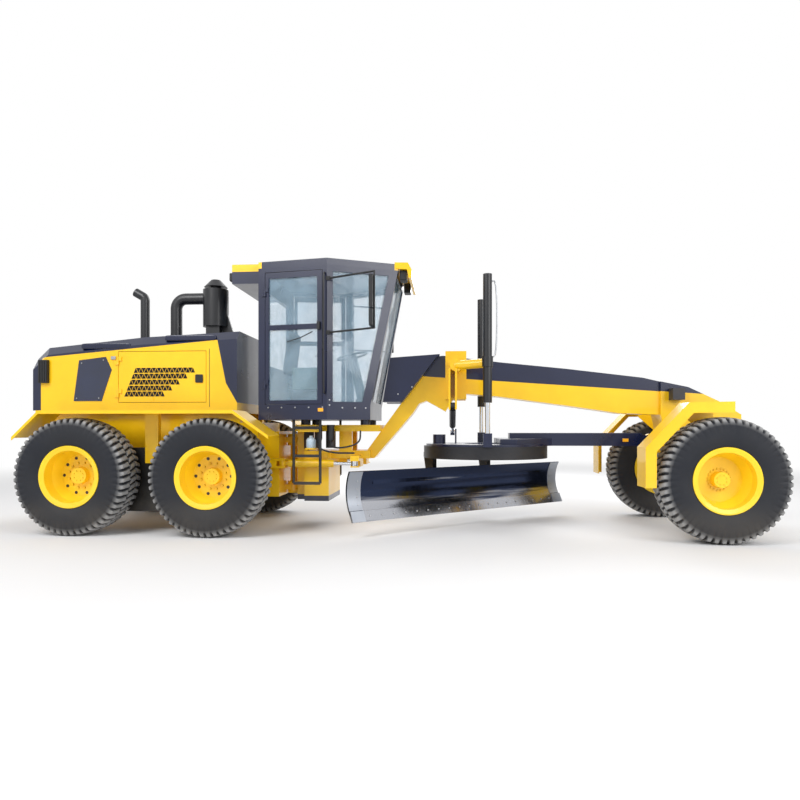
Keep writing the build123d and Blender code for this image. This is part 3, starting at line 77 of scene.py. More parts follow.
class Batch:
    """Collects many small closed forms into one mesh."""

    def __init__(self):
        """Start empty."""
        self.verts, self.faces, self.count = [], [], 0

    def add(self, points, faces):
        """Take in one form, its faces numbered after those already held."""
        self.verts.append(np.asarray(points, float).reshape(-1, 3))
        self.faces += (np.asarray(faces) + self.count).tolist() if isinstance(faces, np.ndarray) else [
            [k + self.count for k in q] for q in faces]
        self.count += len(self.verts[-1])

    def plate(self, low, high, turn=None, round_by=0.15):
        """A slab with cut corners: an octagon rim at each face of its thinnest side, and a wider middle."""
        low, high = np.asarray(low, float), np.asarray(high, float)
        middle, half = (low + high) / 2, np.abs(high - low) / 2
        thin = int(np.argmin(half))
        a, b = [k for k in range(3) if k != thin]
        cut = round_by * min(half[a], half[b])
        outline = np.array([(1, -1), (1, 1), (-1, 1), (-1, -1)])
        rim = []
        for sx, sy in outline:
            flip = sx * sy > 0
            first, second = (sx * half[a], sy * (half[b] - cut)), (sx * (half[a] - cut), sy * half[b])
            rim += [first, second] if flip else [second, first]
        rim = np.array(rim)
        edge = min(half[thin] * 0.6, cut * 0.6)
        rows = []
        reach = half[thin]
        for level, shrink in ((-reach, edge), (edge - reach, 0), (reach - edge, 0), (reach, edge)):
            row = np.zeros((8, 3))
            row[:, a] = rim[:, 0] - np.sign(rim[:, 0]) * shrink
            row[:, b] = rim[:, 1] - np.sign(rim[:, 1]) * shrink
            row[:, thin] = level
            rows.append(row)
        points = np.concatenate(rows)
        faces = [list(q) for q in grid_faces(4, 8, False, True)]
        faces += [list(range(7, -1, -1)), list(range(24, 32))]
        if (a, b, thin) == (0, 2, 1):
            faces = [q[::-1] for q in faces]
        faces = [q[::-1] for q in faces[:-2]] + faces[-2:]
        if turn is not None:
            points = points @ np.asarray(turn).T
        self.add(points + middle, faces)

    def lathe(self, profile, centre, axis, sides=24, phase=0.0):
        """A (radius, height) profile turned about an axis; radius 0 at an end closes it with a pole."""
        axis = np.asarray(axis, float) / np.linalg.norm(axis)
        side = np.cross(axis, (0, 0, 1) if abs(axis[2]) < 0.9 else (1, 0, 0))
        side /= np.linalg.norm(side)
        up = np.cross(axis, side)
        angle = phase + np.arange(sides) * 2 * np.pi / sides
        spoke = np.cos(angle)[:, None] * side + np.sin(angle)[:, None] * up
        r, h = np.array(profile, float).T
        rows = np.asarray(centre) + h[:, None, None] * axis + r[:, None, None] * spoke[None]
        faces = [list(q) for q in grid_faces(len(profile), sides, False, True)]
        last = (len(profile) - 1) * sides
        faces = [q[::-1] for q in faces]
        faces += [list(range(sides)), list(range(last + sides - 1, last - 1, -1))]
        faces = [q[::-1] for q in faces]
        self.add(rows, faces)

    def tube(self, path, radius, sides=12):
        """A round section carried along a path, its rings turned with the path's direction."""
        path = np.asarray(path, float)
        step = np.gradient(path, axis=0)
        step /= np.linalg.norm(step, axis=1)[:, None]
        start = np.cross(step[0], (0, 0, 1) if abs(step[0][2]) < 0.9 else (1, 0, 0))
        side = [start / np.linalg.norm(start)]
        for direction in step[1:]:
            kept = side[-1] - direction * (side[-1] @ direction)
            side.append(kept / np.linalg.norm(kept))
        side = np.array(side)
        up = np.cross(step, side)
        angle = np.arange(sides) * 2 * np.pi / sides
        rows = path[:, None] + radius * (np.cos(angle)[None, :, None] * side[:, None]
                                         + np.sin(angle)[None, :, None] * up[:, None])
        faces = [list(q) for q in grid_faces(len(path), sides, False, True)]
        last = (len(path) - 1) * sides
        faces += [list(range(sides)), list(range(last + sides - 1, last - 1, -1))]
        self.add(rows, [q[::-1] for q in faces])

    def prism(self, outline, rise):
        """A flat outline carried along a straight rise, with a cap at each end, faces outwards."""
        low = np.asarray(outline, float)
        rise = np.asarray(rise, float)
        n = len(low)
        turn = np.cross(low, np.roll(low, -1, axis=0)).sum(0) @ rise
        sides = [[i, (i + 1) % n, (i + 1) % n + n, i + n] for i in range(n)]
        faces = sides + [list(range(n - 1, -1, -1)), list(range(n, 2 * n))]
        if turn < 0:
            faces = [q[::-1] for q in faces]
        self.add(np.concatenate([low, low + rise]), faces)

    def make(self, name, body, material, smooth=35.0):
        """The collected forms as one piece."""
        piece = mesh_piece(name, np.concatenate(self.verts), self.faces, body, material, smooth)
        return piece


def bent(points, power=2):
    """A smooth path: each run is cut at its quarters, over and over, so corners round off and ends stay."""
    points = np.asarray(points, float)
    for _ in range(power):
        q = points[:-1] * 0.75 + points[1:] * 0.25
        r = points[:-1] * 0.25 + points[1:] * 0.75
        inner = np.stack([q, r], 1).reshape(-1, 3)
        points = np.concatenate([points[:1], inner, points[-1:]])
    return points


# ---------------------------------------------------------------- materials
class Net:
    """A node tree with short calls to add and join nodes."""

    def __init__(self, tree):
        """Work on one node tree."""
        self.tree = tree

    def add(self, kind, settings=None, **inputs):
        """A node with its settings; an input is named or numbered as i0, i1, and takes a value or socket."""
        node = self.tree.nodes.new(kind)
        for key, value in (settings or {}).items():
            setattr(node, key, value)
        for key, value in inputs.items():
            numbered = key[0] == "i" and key[1:].isdigit()
            socket = node.inputs[int(key[1:]) if numbered else key.replace("_", " ")]
            if isinstance(value, bpy.types.NodeSocket):
                self.tree.links.new(value, socket)
            else:
                socket.default_value = value
        return node

    def maths(self, operation, a, b=0.0, clamp=False):
        """One sum of two values."""
        settings = {"operation": operation, "use_clamp": clamp}
        return self.add("ShaderNodeMath", settings, i0=a, i1=b).outputs[0]

    def mix(self, factor, a, b):
        """One colour turning into another by a factor."""
        return self.add("ShaderNodeMix", {"data_type": "RGBA"}, i0=factor, i6=a, i7=b).outputs[2]


def group(name, inputs, outputs):
    """An empty shader group with named float inputs and outputs."""
    tree = bpy.data.node_groups.new(name, "ShaderNodeTree")
    for label, value in inputs.items():
        socket = tree.interface.new_socket(label, in_out="INPUT", socket_type="NodeSocketFloat")
        socket.default_value = value
    for label in outputs:
        tree.interface.new_socket(label, in_out="OUTPUT", socket_type="NodeSocketFloat")
    net = Net(tree)
    return net, net.add("NodeGroupInput"), net.add("NodeGroupOutput")


EDGE_SOFT = 0.004           # width over which one paint turns into the next


def weather_group():
    """Dust that thickens downwards, soft patches, and a fine height for bump, all from Object coordinates."""
    inputs = {"Dust": 0.3, "Low": 0.2, "High": 1.6, "Patch size": 2.0, "Grain": 60.0}
    net, given, out = group("weather", inputs, ("Dust", "Patches", "Height"))
    place = net.add("ShaderNodeTexCoord").outputs["Object"]
    height = net.add("ShaderNodeSeparateXYZ", i0=place).outputs["Z"]
    smooth = {"interpolation_type": "SMOOTHSTEP"}
    low = net.add("ShaderNodeMapRange", smooth, i0=height, i1=given.outputs["Low"], i2=given.outputs["High"],
                  i3=1.0, i4=0.0).outputs[0]
    coarse = net.add("ShaderNodeTexNoise", i0=place, Scale=given.outputs["Patch size"], Detail=6.0,
                     Roughness=0.6)
    fine = net.add("ShaderNodeTexNoise", i0=place, Scale=given.outputs["Grain"], Detail=3.0)
    speck = net.add("ShaderNodeMapRange", i0=coarse.outputs[0], i1=0.35, i2=0.75, i3=0.2, i4=1.0).outputs[0]
    dust = net.maths("MULTIPLY", net.maths("MULTIPLY", low, speck), given.outputs["Dust"], True)
    net.tree.links.new(dust, out.inputs["Dust"])
    net.tree.links.new(coarse.outputs[0], out.inputs["Patches"])
    net.tree.links.new(fine.outputs[0], out.inputs["Height"])
    return net.tree


def side_group():
    """1 above the line Z = Height + Slope * (X - From), 0 under it; Soft is the width of the change."""
    inputs = {"From": 0.0, "Height": 0.0, "Slope": 0.0, "Soft": EDGE_SOFT}
    net, given, out = group("above_line", inputs, ("Mask",))
    place = net.add("ShaderNodeSeparateXYZ", i0=net.add("ShaderNodeTexCoord").outputs["Object"])
    run = net.maths("SUBTRACT", place.outputs["X"], given.outputs["From"])
    line = net.maths("ADD", net.maths("MULTIPLY", run, given.outputs["Slope"]), given.outputs["Height"])
    gap = net.maths("SUBTRACT", place.outputs["Z"], line)
    mask = net.maths("ADD", net.maths("DIVIDE", gap, given.outputs["Soft"]), 0.5, True)
    net.tree.links.new(mask, out.inputs["Mask"])
    return net.tree


def scratch_group():
    """Long fine scratches along Z, for bare steel."""
    net, given, out = group("scratches", {"Size": 40.0, "Stretch": 0.05}, ("Scratches",))
    place = net.add("ShaderNodeTexCoord").outputs["Object"]
    split = net.add("ShaderNodeSeparateXYZ", i0=place)
    flat = net.maths("MULTIPLY", split.outputs["Z"], given.outputs["Stretch"])
    thin = net.add("ShaderNodeCombineXYZ", i0=split.outputs["X"], i1=split.outputs["Y"], i2=flat).outputs[0]
    lines = net.add("ShaderNodeTexNoise", i0=thin, Scale=given.outputs["Size"], Detail=4.0).outputs[0]
    net.tree.links.new(lines, out.inputs["Scratches"])
    return net.tree


WEATHER, ABOVE, SCRATCHES = weather_group(), side_group(), scratch_group()
DUST_COLOUR = (0.42, 0.36, 0.27, 1.0)


def colour(red, green, blue):
    """A display colour, 0 to 255, as the linear values that a shader takes."""
    c = np.array((red, green, blue)) / 255.0
    linear = np.where(c <= 0.04045, c / 12.92, ((c + 0.055) / 1.055) ** 2.4)
    return (*linear.tolist(), 1.0)


def shader(name):
    """A new material's net and its Principled shader."""
    material = bpy.data.materials.new(name)
    material.use_nodes = True
    net = Net(material.node_tree)
    return material, net, material.node_tree.nodes["Principled BSDF"]


def place_group(net, tree, **values):
    """One use of a shared group, with its inputs set."""
    return net.add("ShaderNodeGroup", {"node_tree": tree}, **values)


def finish(name, base, rough=0.35, metal=0.0, coat=0.0, dust=0.15, high=1.3, bump=0.02, grain=60.0,
           vary=0.08, second=None, mask=None):
    """A painted or moulded finish: a colour, a second one inside a mask if given, patches, dust and bump."""
    material, net, bsdf = shader(name)
    weather = place_group(net, WEATHER, Dust=dust, High=high, Grain=grain)
    shade = net.mix(mask(net), base, second) if second else base[:3]
    patches = weather.outputs["Patches"]
    tone = net.add("ShaderNodeMapRange", i0=patches, i1=0.3, i2=0.7, i3=1.0 - vary, i4=1.0 + vary).outputs[0]
    toned = net.add("ShaderNodeVectorMath", {"operation": "SCALE"}, i0=shade, Scale=tone).outputs[0]
    dusty = net.mix(weather.outputs["Dust"], toned, DUST_COLOUR)
    net.tree.links.new(dusty, bsdf.inputs["Base Color"])
    span = net.add("ShaderNodeMapRange", i0=patches, i1=0.3, i2=0.7, i3=rough * 0.85, i4=rough * 1.2)
    worn = net.maths("ADD", span.outputs[0], net.maths("MULTIPLY", weather.outputs["Dust"], 0.4), True)
    net.tree.links.new(worn, bsdf.inputs["Roughness"])
    bsdf.inputs["Metallic"].default_value = metal
    bsdf.inputs["Coat Weight"].default_value = coat
    bsdf.inputs["Coat Roughness"].default_value = 0.08
    if bump:
        raised = net.add("ShaderNodeBump", Strength=bump, Distance=0.002, Height=weather.outputs["Height"])
        net.tree.links.new(raised.outputs[0], bsdf.inputs["Normal"])
    return material


def glass(name, tint, rough=0.02, alpha=0.35):
    """Thin tinted glazing: a clear coat over a see-through pane."""
    material, net, bsdf = shader(name)
    place = net.add("ShaderNodeTexCoord").outputs["Object"]
    smear = net.add("ShaderNodeTexNoise", i0=place, Scale=5.0, Detail=4.0)
    haze = net.add("ShaderNodeMapRange", i0=smear.outputs[0], i1=0.4, i2=0.7, i3=rough, i4=rough + 0.03)
    veil = net.add("ShaderNodeMapRange", i0=smear.outputs[0], i1=0.35, i2=0.75, i3=alpha * 0.75,
                   i4=alpha * 1.25)
    bsdf.inputs["Base Color"].default_value = tint
    net.tree.links.new(haze.outputs[0], bsdf.inputs["Roughness"])
    net.tree.links.new(veil.outputs[0], bsdf.inputs["Alpha"])
    bsdf.inputs["IOR"].default_value = 1.5
    return material


YELLOW, YELLOW_DEEP = colour(253, 202, 8), colour(255, 214, 26)
NAVY, BLACK = colour(8, 20, 54), colour(14, 16, 22)
DUSTY_TREAD = colour(150, 150, 150)

yellow = finish("yellow paint", YELLOW, rough=0.32, coat=0.35, dust=0.10)
rim_yellow = finish("rim yellow", YELLOW_DEEP, rough=0.36, coat=0.3, dust=0.10, high=1.0)
navy = finish("navy paint", NAVY, rough=0.30, coat=0.2, dust=0.02)
black = finish("black paint", BLACK, rough=0.42, coat=0.15, dust=0.15)


def ahead_of(net, x, z, slope):
    """1 ahead of the slanted line X = x + slope * (Z - z) in the side view, else 0."""
    place = net.add("ShaderNodeSeparateXYZ", i0=net.add("ShaderNodeTexCoord").outputs["Object"])
    rise = net.maths("SUBTRACT", place.outputs["Z"], z)
    line = net.maths("ADD", net.maths("MULTIPLY", rise, slope), x)
    gap = net.maths("SUBTRACT", place.outputs["X"], line)
    return net.maths("ADD", net.maths("DIVIDE", gap, EDGE_SOFT), 0.5, True)


def hood_zones(net):
    """Dark top strip above its rising line, dark shroud ahead of two slanted lines, and dark tail."""
    strip = place_group(net, ABOVE, From=-4.09, Height=2.118, Slope=0.0874).outputs["Mask"]
    shroud = net.maths("MINIMUM", ahead_of(net, -1.856, 1.779, -0.2023), ahead_of(net, -1.679, 1.475, -0.582))
    tail = net.maths("SUBTRACT", 1.0, ahead_of(net, -4.215, 0.0, 0.0))
    return net.maths("MAXIMUM", net.maths("MAXIMUM", strip, shroud), tail)


def frame_zones(net):
    """Dark upper part of the beam above its falling line, and the skid plate under the belly."""
    upper = place_group(net, ABOVE, From=1.518, Height=1.813, Slope=-0.0698).outputs["Mask"]
    under = place_group(net, ABOVE, From=0.0, Height=0.395, Slope=0.0).outputs["Mask"]
    behind = net.maths("SUBTRACT", 1.0, ahead_of(net, 0.0, 0.0, 0.0))
    skid = net.maths("MULTIPLY", net.maths("SUBTRACT", 1.0, under), behind)
    return net.maths("MAXIMUM", upper, skid)


def roof_zones(net):
    """Dark roof slab and cooling box between the yellow rear cap and the yellow visor."""
    visor = ahead_of(net, 0.192, 0.0, 0.0)
    cap = net.maths("MULTIPLY", net.maths("SUBTRACT", 1.0, ahead_of(net, -1.385, 0.0, 0.0)),
                    place_group(net, ABOVE, From=0.0, Height=3.137, Slope=0.0).outputs["Mask"])
    return net.maths("SUBTRACT", 1.0, net.maths("MAXIMUM", visor, cap), True)


hood_paint = finish("hood paint", YELLOW, rough=0.3, coat=0.4, dust=0.08, second=NAVY, mask=hood_zones)
beam_paint = finish("beam paint", YELLOW, rough=0.32, coat=0.35, dust=0.10, second=NAVY, mask=frame_zones)
roof_paint = finish("roof paint", YELLOW, rough=0.32, coat=0.35, dust=0.08, second=NAVY, mask=roof_zones)


def on_blocks(net):
    """The tread's attribute: 1 on the tops of the blocks, 0 on the walls and in the grooves."""
    return net.add("ShaderNodeAttribute", {"attribute_name": "block_top"}).outputs["Fac"]


rubber = finish("tyre rubber", colour(22, 25, 33), rough=0.7, dust=0.12, high=0.5, bump=0.25, grain=90.0,
                vary=0.2, second=DUSTY_TREAD, mask=on_blocks)
plastic = finish("black plastic", colour(24, 25, 28), rough=0.55, dust=0.1, bump=0.15, grain=250.0)
grey_plastic = finish("console plastic", colour(92, 100, 98), rough=0.55, dust=0.05, bump=0.15, grain=250.0)
cloth = finish("seat cloth", colour(46, 50, 58), rough=0.9, dust=0.05, bump=0.5, grain=400.0, vary=0.15)
iron = finish("cast iron", colour(70, 70, 74), rough=0.6, metal=0.6, dust=0.3, bump=0.2, grain=120.0)
zinc = finish("zinc fasteners", colour(178, 180, 184), rough=0.35, metal=1.0, dust=0.1, bump=0.02)
chrome = finish("rod chrome", colour(216, 220, 226), rough=0.12, metal=1.0, dust=0.05, bump=0.0, vary=0.03)
ring_steel = finish("ring steel", colour(34, 36, 42), rough=0.45, metal=0.5, dust=0.2, bump=0.15, grain=80.0)
amber = finish("amber lens", colour(252, 176, 30), rough=0.15, coat=0.6, dust=0.02, bump=0.0)
red_lens = finish("red lens", colour(170, 24, 16), rough=0.15, coat=0.6, dust=0.05, bump=0.0)
white_lens = finish("white lens", colour(222, 226, 230), rough=0.12, coat=0.6, dust=0.03, bump=0.0)
bottle = finish("bottle plastic", colour(186, 206, 222), rough=0.3, coat=0.2, dust=0.1, bump=0.0)
dark_pane = finish("dark window", colour(16, 28, 60), rough=0.08, coat=0.8, dust=0.03, bump=0.0, vary=0.25)
# painted shade: near black for the shaded insides of the engine door vents
vent_shade = finish("vent openings", colour(10, 10, 12), rough=0.8, dust=0.02, bump=0.0)
console_green = finish("console panel", colour(86, 112, 108), rough=0.5, dust=0.05, bump=0.1, grain=250.0)
pane = glass("cab glazing", colour(176, 206, 226), alpha=0.28)
mirror_face = finish("mirror face", colour(214, 222, 232), rough=0.04, metal=1.0, dust=0.0, bump=0.0,
                     vary=0.02)


def blade_finish():
    """Polished dark steel with fine upright scratches; its colour is painted reflection: dark above, bright
    streaks along the foot.
    """
    material, net, bsdf = shader("blade steel")
    marks = place_group(net, SCRATCHES, Size=55.0)
    point = net.add("ShaderNodeTexCoord").outputs["Object"]
    drawn = net.add("ShaderNodeVectorMath", {"operation": "MULTIPLY"}, i0=point,
                    i1=(0.35, 0.35, 9.0)).outputs[0]
    reflection_streaks = net.add("ShaderNodeTexNoise", i0=drawn, Scale=1.6, Detail=3.0).outputs[0]
    height = net.add("ShaderNodeSeparateXYZ", i0=point).outputs["Z"]
    low = net.add("ShaderNodeMapRange", i0=height, i1=0.28, i2=0.50, i3=0.75, i4=0.0).outputs[0]
    level = net.maths("ADD", low, net.maths("MULTIPLY", net.maths("SUBTRACT", reflection_streaks, 0.5), 1.6))
    foot = net.add("ShaderNodeMapRange", i0=level, i1=0.30, i2=0.55, i3=0.0, i4=1.0).outputs[0]
    # painted reflection: dark blue-grey over the upper face and bright grey streaks along the foot, darker
    # towards the top
    shade = net.mix(foot, colour(46, 54, 76), colour(176, 178, 184))
    net.tree.links.new(shade, bsdf.inputs["Base Color"])
    rough = net.add("ShaderNodeMapRange", i0=marks.outputs["Scratches"], i1=0.3, i2=0.7, i3=0.10, i4=0.22)
    net.tree.links.new(rough.outputs[0], bsdf.inputs["Roughness"])
    bsdf.inputs["Metallic"].default_value = 1.0
    raised = net.add("ShaderNodeBump", Strength=0.03, Distance=0.002, Height=marks.outputs["Scratches"])
    net.tree.links.new(raised.outputs[0], bsdf.inputs["Normal"])
    return material


blade_steel = blade_finish()
edge_steel = finish("edge steel", colour(168, 174, 184), rough=0.3, metal=0.95, dust=0.12, bump=0.15)

PLACES = ("rear", "middle", "front")
# each row: a finish, and the nodes that take it
FINISHES = (
    (hood_paint, ("hood", "engine_door_right", "engine_door_left")),
    (beam_paint, ("front_frame",)),
    (yellow, ("rear_frame", "tandem_fender_right", "tandem_fender_left", "saddle", "knuckle_right",
              "knuckle_left", "articulation_barrel_right", "articulation_barrel_left")),
    (roof_paint, ("cab_roof",)),
    (rim_yellow, tuple(f"rim_{place}_{side}" for place in PLACES for side, _ in SIDES)),
    (navy, ("cab_shell", "cab_door_right", "cab_door_left", "side_panels", "drawbar")),
    (black, ("tandem_case_right", "tandem_case_left", "rear_grille", "stacks", "ladders", "lift_barrel_right",
             "lift_barrel_left", "centre_barrel", "axle_beam", "lean_bracket_right", "lean_bracket_left",
             "lean_bar", "tie_rod", "blade_carrier")),
    (chrome, ("articulation_rod_right", "articulation_rod_left", "lift_rod_right", "lift_rod_left",
              "centre_rod")),
    (pane, ("cab_glass", "cab_door_glass_right", "cab_door_glass_left")),
    (iron, ("engine_block", "hydraulic_gear")),
    (ring_steel, ("turning_circle",)),
    (blade_steel, ("moldboard",)),
    (plastic, ("mirrors", "tail_lamps")),
    (cloth, ("operator_seat",)),
    (grey_plastic, ("steering_console",)),
    (rubber, tuple(f"tyre_{place}_{side}" for place in PLACES for side, _ in SIDES)),
)
for material, names in FINISHES:
    for name in names:
        NODES[name].data.materials.clear()
        NODES[name].data.materials.append(material)
        NODES[name].data.shade_smooth()
        NODES[name].data.set_sharp_from_angle(angle=np.radians(32.0))


# ---------------------------------------------------------------- tyres and wheels
TYRE_R, BEAD_R, FLANGE_R = 0.675, 0.318, 0.356
CROWN_HALF, CROWN_DROP = 0.192, 0.016       # half width of the tread, and how far it falls to its edge
TYRE_STEPS, CROWN_STEPS = 476, 58           # divisions around a tyre and across its tread
BLOCKS, LUG_DEPTH = 52, 0.024


def tread_depth(angle, s):
    """Groove depth over the tread: two zigzag grooves around it, and slanted gaps across each block row."""
    turn = angle * BLOCKS / (2 * np.pi)
    wave = np.abs((turn % 1.0) - 0.5) * 4 - 1
    across = np.abs(s)
    around = np.abs(across - 0.062 - 0.014 * wave * np.sign(s)) / 0.0075
    slant = turn + np.where(across < 0.062, 0.5, 0.0) + np.where(across < 0.062, s * 4.0, across * 2.4)
    gap = np.abs((slant % 1.0) - 0.5) / 0.13
    shoulder = np.abs((slant % 1.0) - 0.5) / 0.17
    groove = np.minimum(around, np.where(across > 0.12, shoulder, gap))
    return np.clip(1.6 - groove, 0.0, 1.0)


def tyre_piece(place, side, outwards):
    """A section turned about the axle: bead, bulged flank and tread; lugs are the tread less its grooves."""
    low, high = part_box(f"tyre_{place}_{side}")
    centre = (np.array(low) + np.array(high)) / 2
    # flank: distance from the axle, distance from the tyre's middle plane
    flank_r, flank_s = np.array([
        (BEAD_R, 0.176), (FLANGE_R, 0.178), (FLANGE_R + 0.006, 0.192), (0.395, 0.205), (0.44, 0.2165),
        (0.49, 0.2215), (0.54, 0.2225), (0.585, 0.2205), (0.615, 0.216), (0.632, 0.2125), (0.645, 0.205),
        (0.655, 0.197)]).T
    crown_s = np.linspace(CROWN_HALF, -CROWN_HALF, CROWN_STEPS)
    crown_r = TYRE_R - CROWN_DROP * (np.abs(crown_s) / CROWN_HALF) ** 2.6
    r = np.concatenate([flank_r, crown_r, flank_r[::-1]])
    s = np.concatenate([flank_s, crown_s, -flank_s[::-1]])
    angle = np.arange(TYRE_STEPS) * 2 * np.pi / TYRE_STEPS
    a, ss = np.meshgrid(angle, s, indexing="ij")
    radius = np.broadcast_to(r, a.shape)
    on_tread = np.clip((radius - 0.600) / 0.045, 0.0, 1.0)
    groove = tread_depth(a, ss)
    depth = groove * on_tread * LUG_DEPTH
    on_shoulder = (np.abs(ss) > 0.19) & (radius > 0.56) & (radius < 0.66)
    shoulder = np.where(on_shoulder, groove * 0.008, 0.0)
    radius = radius - depth
    width = ss - np.sign(ss) * shoulder
    points = np.stack([radius * np.cos(a), outwards * width, radius * np.sin(a)], -1) + centre
    faces = grid_faces(len(angle), len(r), True, True)
    if outwards > 0:
        faces = faces[:, ::-1]
    piece = mesh_piece(f"tread_{place}_{side}", points, faces, f"wheel_{place}_{side}", rubber, 28.0)
    top = np.clip(on_tread * (1.0 - depth / LUG_DEPTH * 1.6), 0.0, 1.0)
    top = top * np.clip((TYRE_R + 0.02 - np.abs(ss) * 0.1) / 0.66, 0, 1)
    worn = piece.data.attributes.new("block_top", "FLOAT", "POINT")
    worn.data.foreach_set("value", top.ravel().astype(np.float32))
    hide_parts(f"tyre_{place}_{side}")


# wheel bolt's profile: radius, height
BOLT = [(0.0, 0.014), (0.010, 0.014), (0.0125, 0.011), (0.0125, 0.0), (0.016, 0.0), (0.016, -0.004),
        (0.0, -0.004)]
# wheel kind: (ring radius, count, face outwards of the wheel's middle, size of a bolt)
BOLT_RINGS = {
    "rear": ((0.150, 12, -0.071, 1.0), (0.058, 8, -0.004, 0.55)),
    "front": ((0.118, 20, -0.036, 0.8), (0.052, 8, 0.050, 0.55)),
}


def wheel_trim(place, side, outwards):
    """Bolt rings on the disc and the hub, and the hand holes as dark raised discs: painted shade in place of
    the openings.
    """
    kind = "front" if place == "front" else "rear"
    low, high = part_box(f"rim_{place}_{side}")
    centre = (np.array(low) + np.array(high)) / 2
    bolts = Batch()
    for ring, count, face, size in BOLT_RINGS[kind]:
        for k in range(count):
            angle = 2 * np.pi * (k + 0.5) / count
            spot = centre + (ring * np.cos(angle), outwards * face, ring * np.sin(angle))
            bolts.lathe([(r * size, h * size) for r, h in BOLT[::-1]], spot, (0, outwards, 0), 6, angle)
    body = f"wheel_{place}_{side}"
    bolts.make(f"wheel_bolts_{place}_{side}", body, rim_yellow, 30.0)
    # painted shade: black discs stand for the shaded openings of the hand holes
    holes = Batch()
    for k in range(10):
        angle = 2 * np.pi * k / 10
        spot = centre + (0.212 * np.cos(angle), outwards * -0.0705, 0.212 * np.sin(angle))
        holes.lathe([(0.0, -0.002), (0.017, -0.002), (0.019, 0.0005), (0.012, 0.0012), (0.0, 0.0008)], spot,
                    (0, outwards, 0), 20)
    holes.make(f"hand_holes_{place}_{side}", body, black)


for place in PLACES:
    for side, outwards in SIDES:
        tyre_piece(place, side, outwards)
        wheel_trim(place, side, outwards)


# ---------------------------------------------------------------- fasteners, trim and cab fittings
HEX = [(0.0, -0.002), (0.010, -0.002), (0.010, 0.006), (0.008, 0.0085), (0.0, 0.0085)]


def bolts(name, body, material, slot, spots, axis, size=1.0):
    """Six-sided heads at a list of places, all facing one way, each a turned profile with a cut rim."""
    batch = Batch()
    for spot in spots:
        batch.lathe([(r * size, h * size) for r, h in HEX], spot, axis, 6)
    batch.make(name, body, material, 30.0)


def plates(name, body, material, slabs, turn=None):
    """Rounded slabs from a table of low and high corners, joined as one piece."""
    batch = Batch()
    for low, high in slabs:
        batch.plate(low, high, turn)
    piece = batch.make(name, body, material)
    return piece


def softened(value, power):
    """A sine or cosine raised to a small power, its sign kept, which squares a circle off."""
    return np.sign(value) * np.abs(value) ** power


def soft_box_faces(rings, sides):
    """A grid of rings closed by a face at each end."""
    last = (rings - 1) * sides
    ends = [list(range(sides - 1, -1, -1)), list(range(last, last + sides))]
    return grid_faces(rings, sides, False, True).tolist() + ends


def soft_box_angles(rings, sides, gap):
    """The angles of a soft box: b from one end to the other, a around it, short of both poles by a gap."""
    b = np.linspace(-0.5 * np.pi + gap, 0.5 * np.pi - gap, rings)
    a = np.linspace(0, 2 * np.pi, sides, endpoint=False)
    return np.meshgrid(b, a, indexing="ij")


def dome(name, body, material, centre, half, power=0.35):
    """A closed bulge: sines and cosines of two angles, raised to a small power, times three half sizes."""
    bb, aa = soft_box_angles(17, 48, 0.06)
    x = softened(np.cos(bb), power) * softened(np.cos(aa), power)
    y = softened(np.sin(bb), power)
    z = softened(np.cos(bb), power) * softened(np.sin(aa), power)
    points = np.stack([x * half[0], y * half[1], z * half[2]], -1) + np.asarray(centre)
    faces = [q[::-1] for q in soft_box_faces(17, 48)]
    piece = mesh_piece(name, points, faces, body, material, 50.0)
    return piece


def near(node, side):
    """The side face of a node: its outermost Y on that side of the machine."""
    low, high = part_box(node)
    return low[1] if side < 0 else high[1]


HOOD_Y = 0.62
# strip bulges: first x, last x, middle z
BULGES = ((-3.697, -3.062, 2.245), (-2.627, -1.979, 2.335))
# bolts on the hood window and the side panels: x, z
WINDOW_BOLTS = ((-3.68, 2.035), (-3.40, 2.07), (-3.46, 1.60), (-3.745, 1.60))
PANEL_BOLTS = ((0.393, 1.737), (0.22, 1.65))
FENDER_BOLT_X, FENDER_BOLT_IN, FENDER_BOLT_Z = (-3.9, -3.3, -2.66, -2.0), 0.45, 1.424
# mirror glass on both heads: low z, high z
MIRROR_GLASS = ((2.572, 2.913), (2.377, 2.533))
LINE_X, LINE_Y = 1.4, 0.75          # steel feed line beside each lift cylinder
for side, sign in SIDES:
    face = sign * HOOD_Y
    for k, (x0, x1, z) in enumerate(BULGES):
        dome(f"hood_bulge_{k}_{side}", "chassis_rear", navy, ((x0 + x1) / 2, sign * 0.60, z),
             ((x1 - x0) / 2, 0.026, 0.036))
    bolts(f"window_bolts_{side}", "chassis_rear", zinc, "engine_iron",
          [(x, sign * 0.626, z) for x, z in WINDOW_BOLTS], (0, sign, 0), 0.9)
    plates(f"hood_seams_{side}", "chassis_rear", black,
           [((-2.063, face - 0.0015, 1.49), (-2.057, face + 0.0015, 2.20))])
    plates(f"door_latches_{side}", f"engine_door_body_{side}", plastic,
           [((-2.235, face - 0.004, 1.785), (-2.140, face + sign * 0.014, 1.885))])
    fender_y = near(f"tandem_fender_{side}", sign) - sign * FENDER_BOLT_IN
    bolts(f"fender_bolts_{side}", f"tandem_body_{side}", zinc, "engine_iron",
          [(x, fender_y, FENDER_BOLT_Z) for x in FENDER_BOLT_X], (0, 0, 1), 0.8)
    bolts(f"panel_bolts_{side}", "chassis_front", zinc, "engine_iron",
          [(x, near("side_panels", sign), z) for x, z in PANEL_BOLTS], (0, sign, 0), 1.1)
    plates(f"mirror_glass_{side}", "chassis_front", mirror_face,
           [((-0.0305, sign * 1.15 - 0.083, z0), (-0.0275, sign * 1.15 + 0.083, z1))
            for z0, z1 in MIRROR_GLASS])
    lines = Batch()
    path = [(x, sign * LINE_Y, z) for x, z in ((1.33, 2.93), (LINE_X, 2.93), (LINE_X, 2.10), (1.34, 2.04))]
    lines.tube(bent(path), 0.009)
    lines.make(f"lift_line_{side}", "chassis_front", zinc, 40.0)

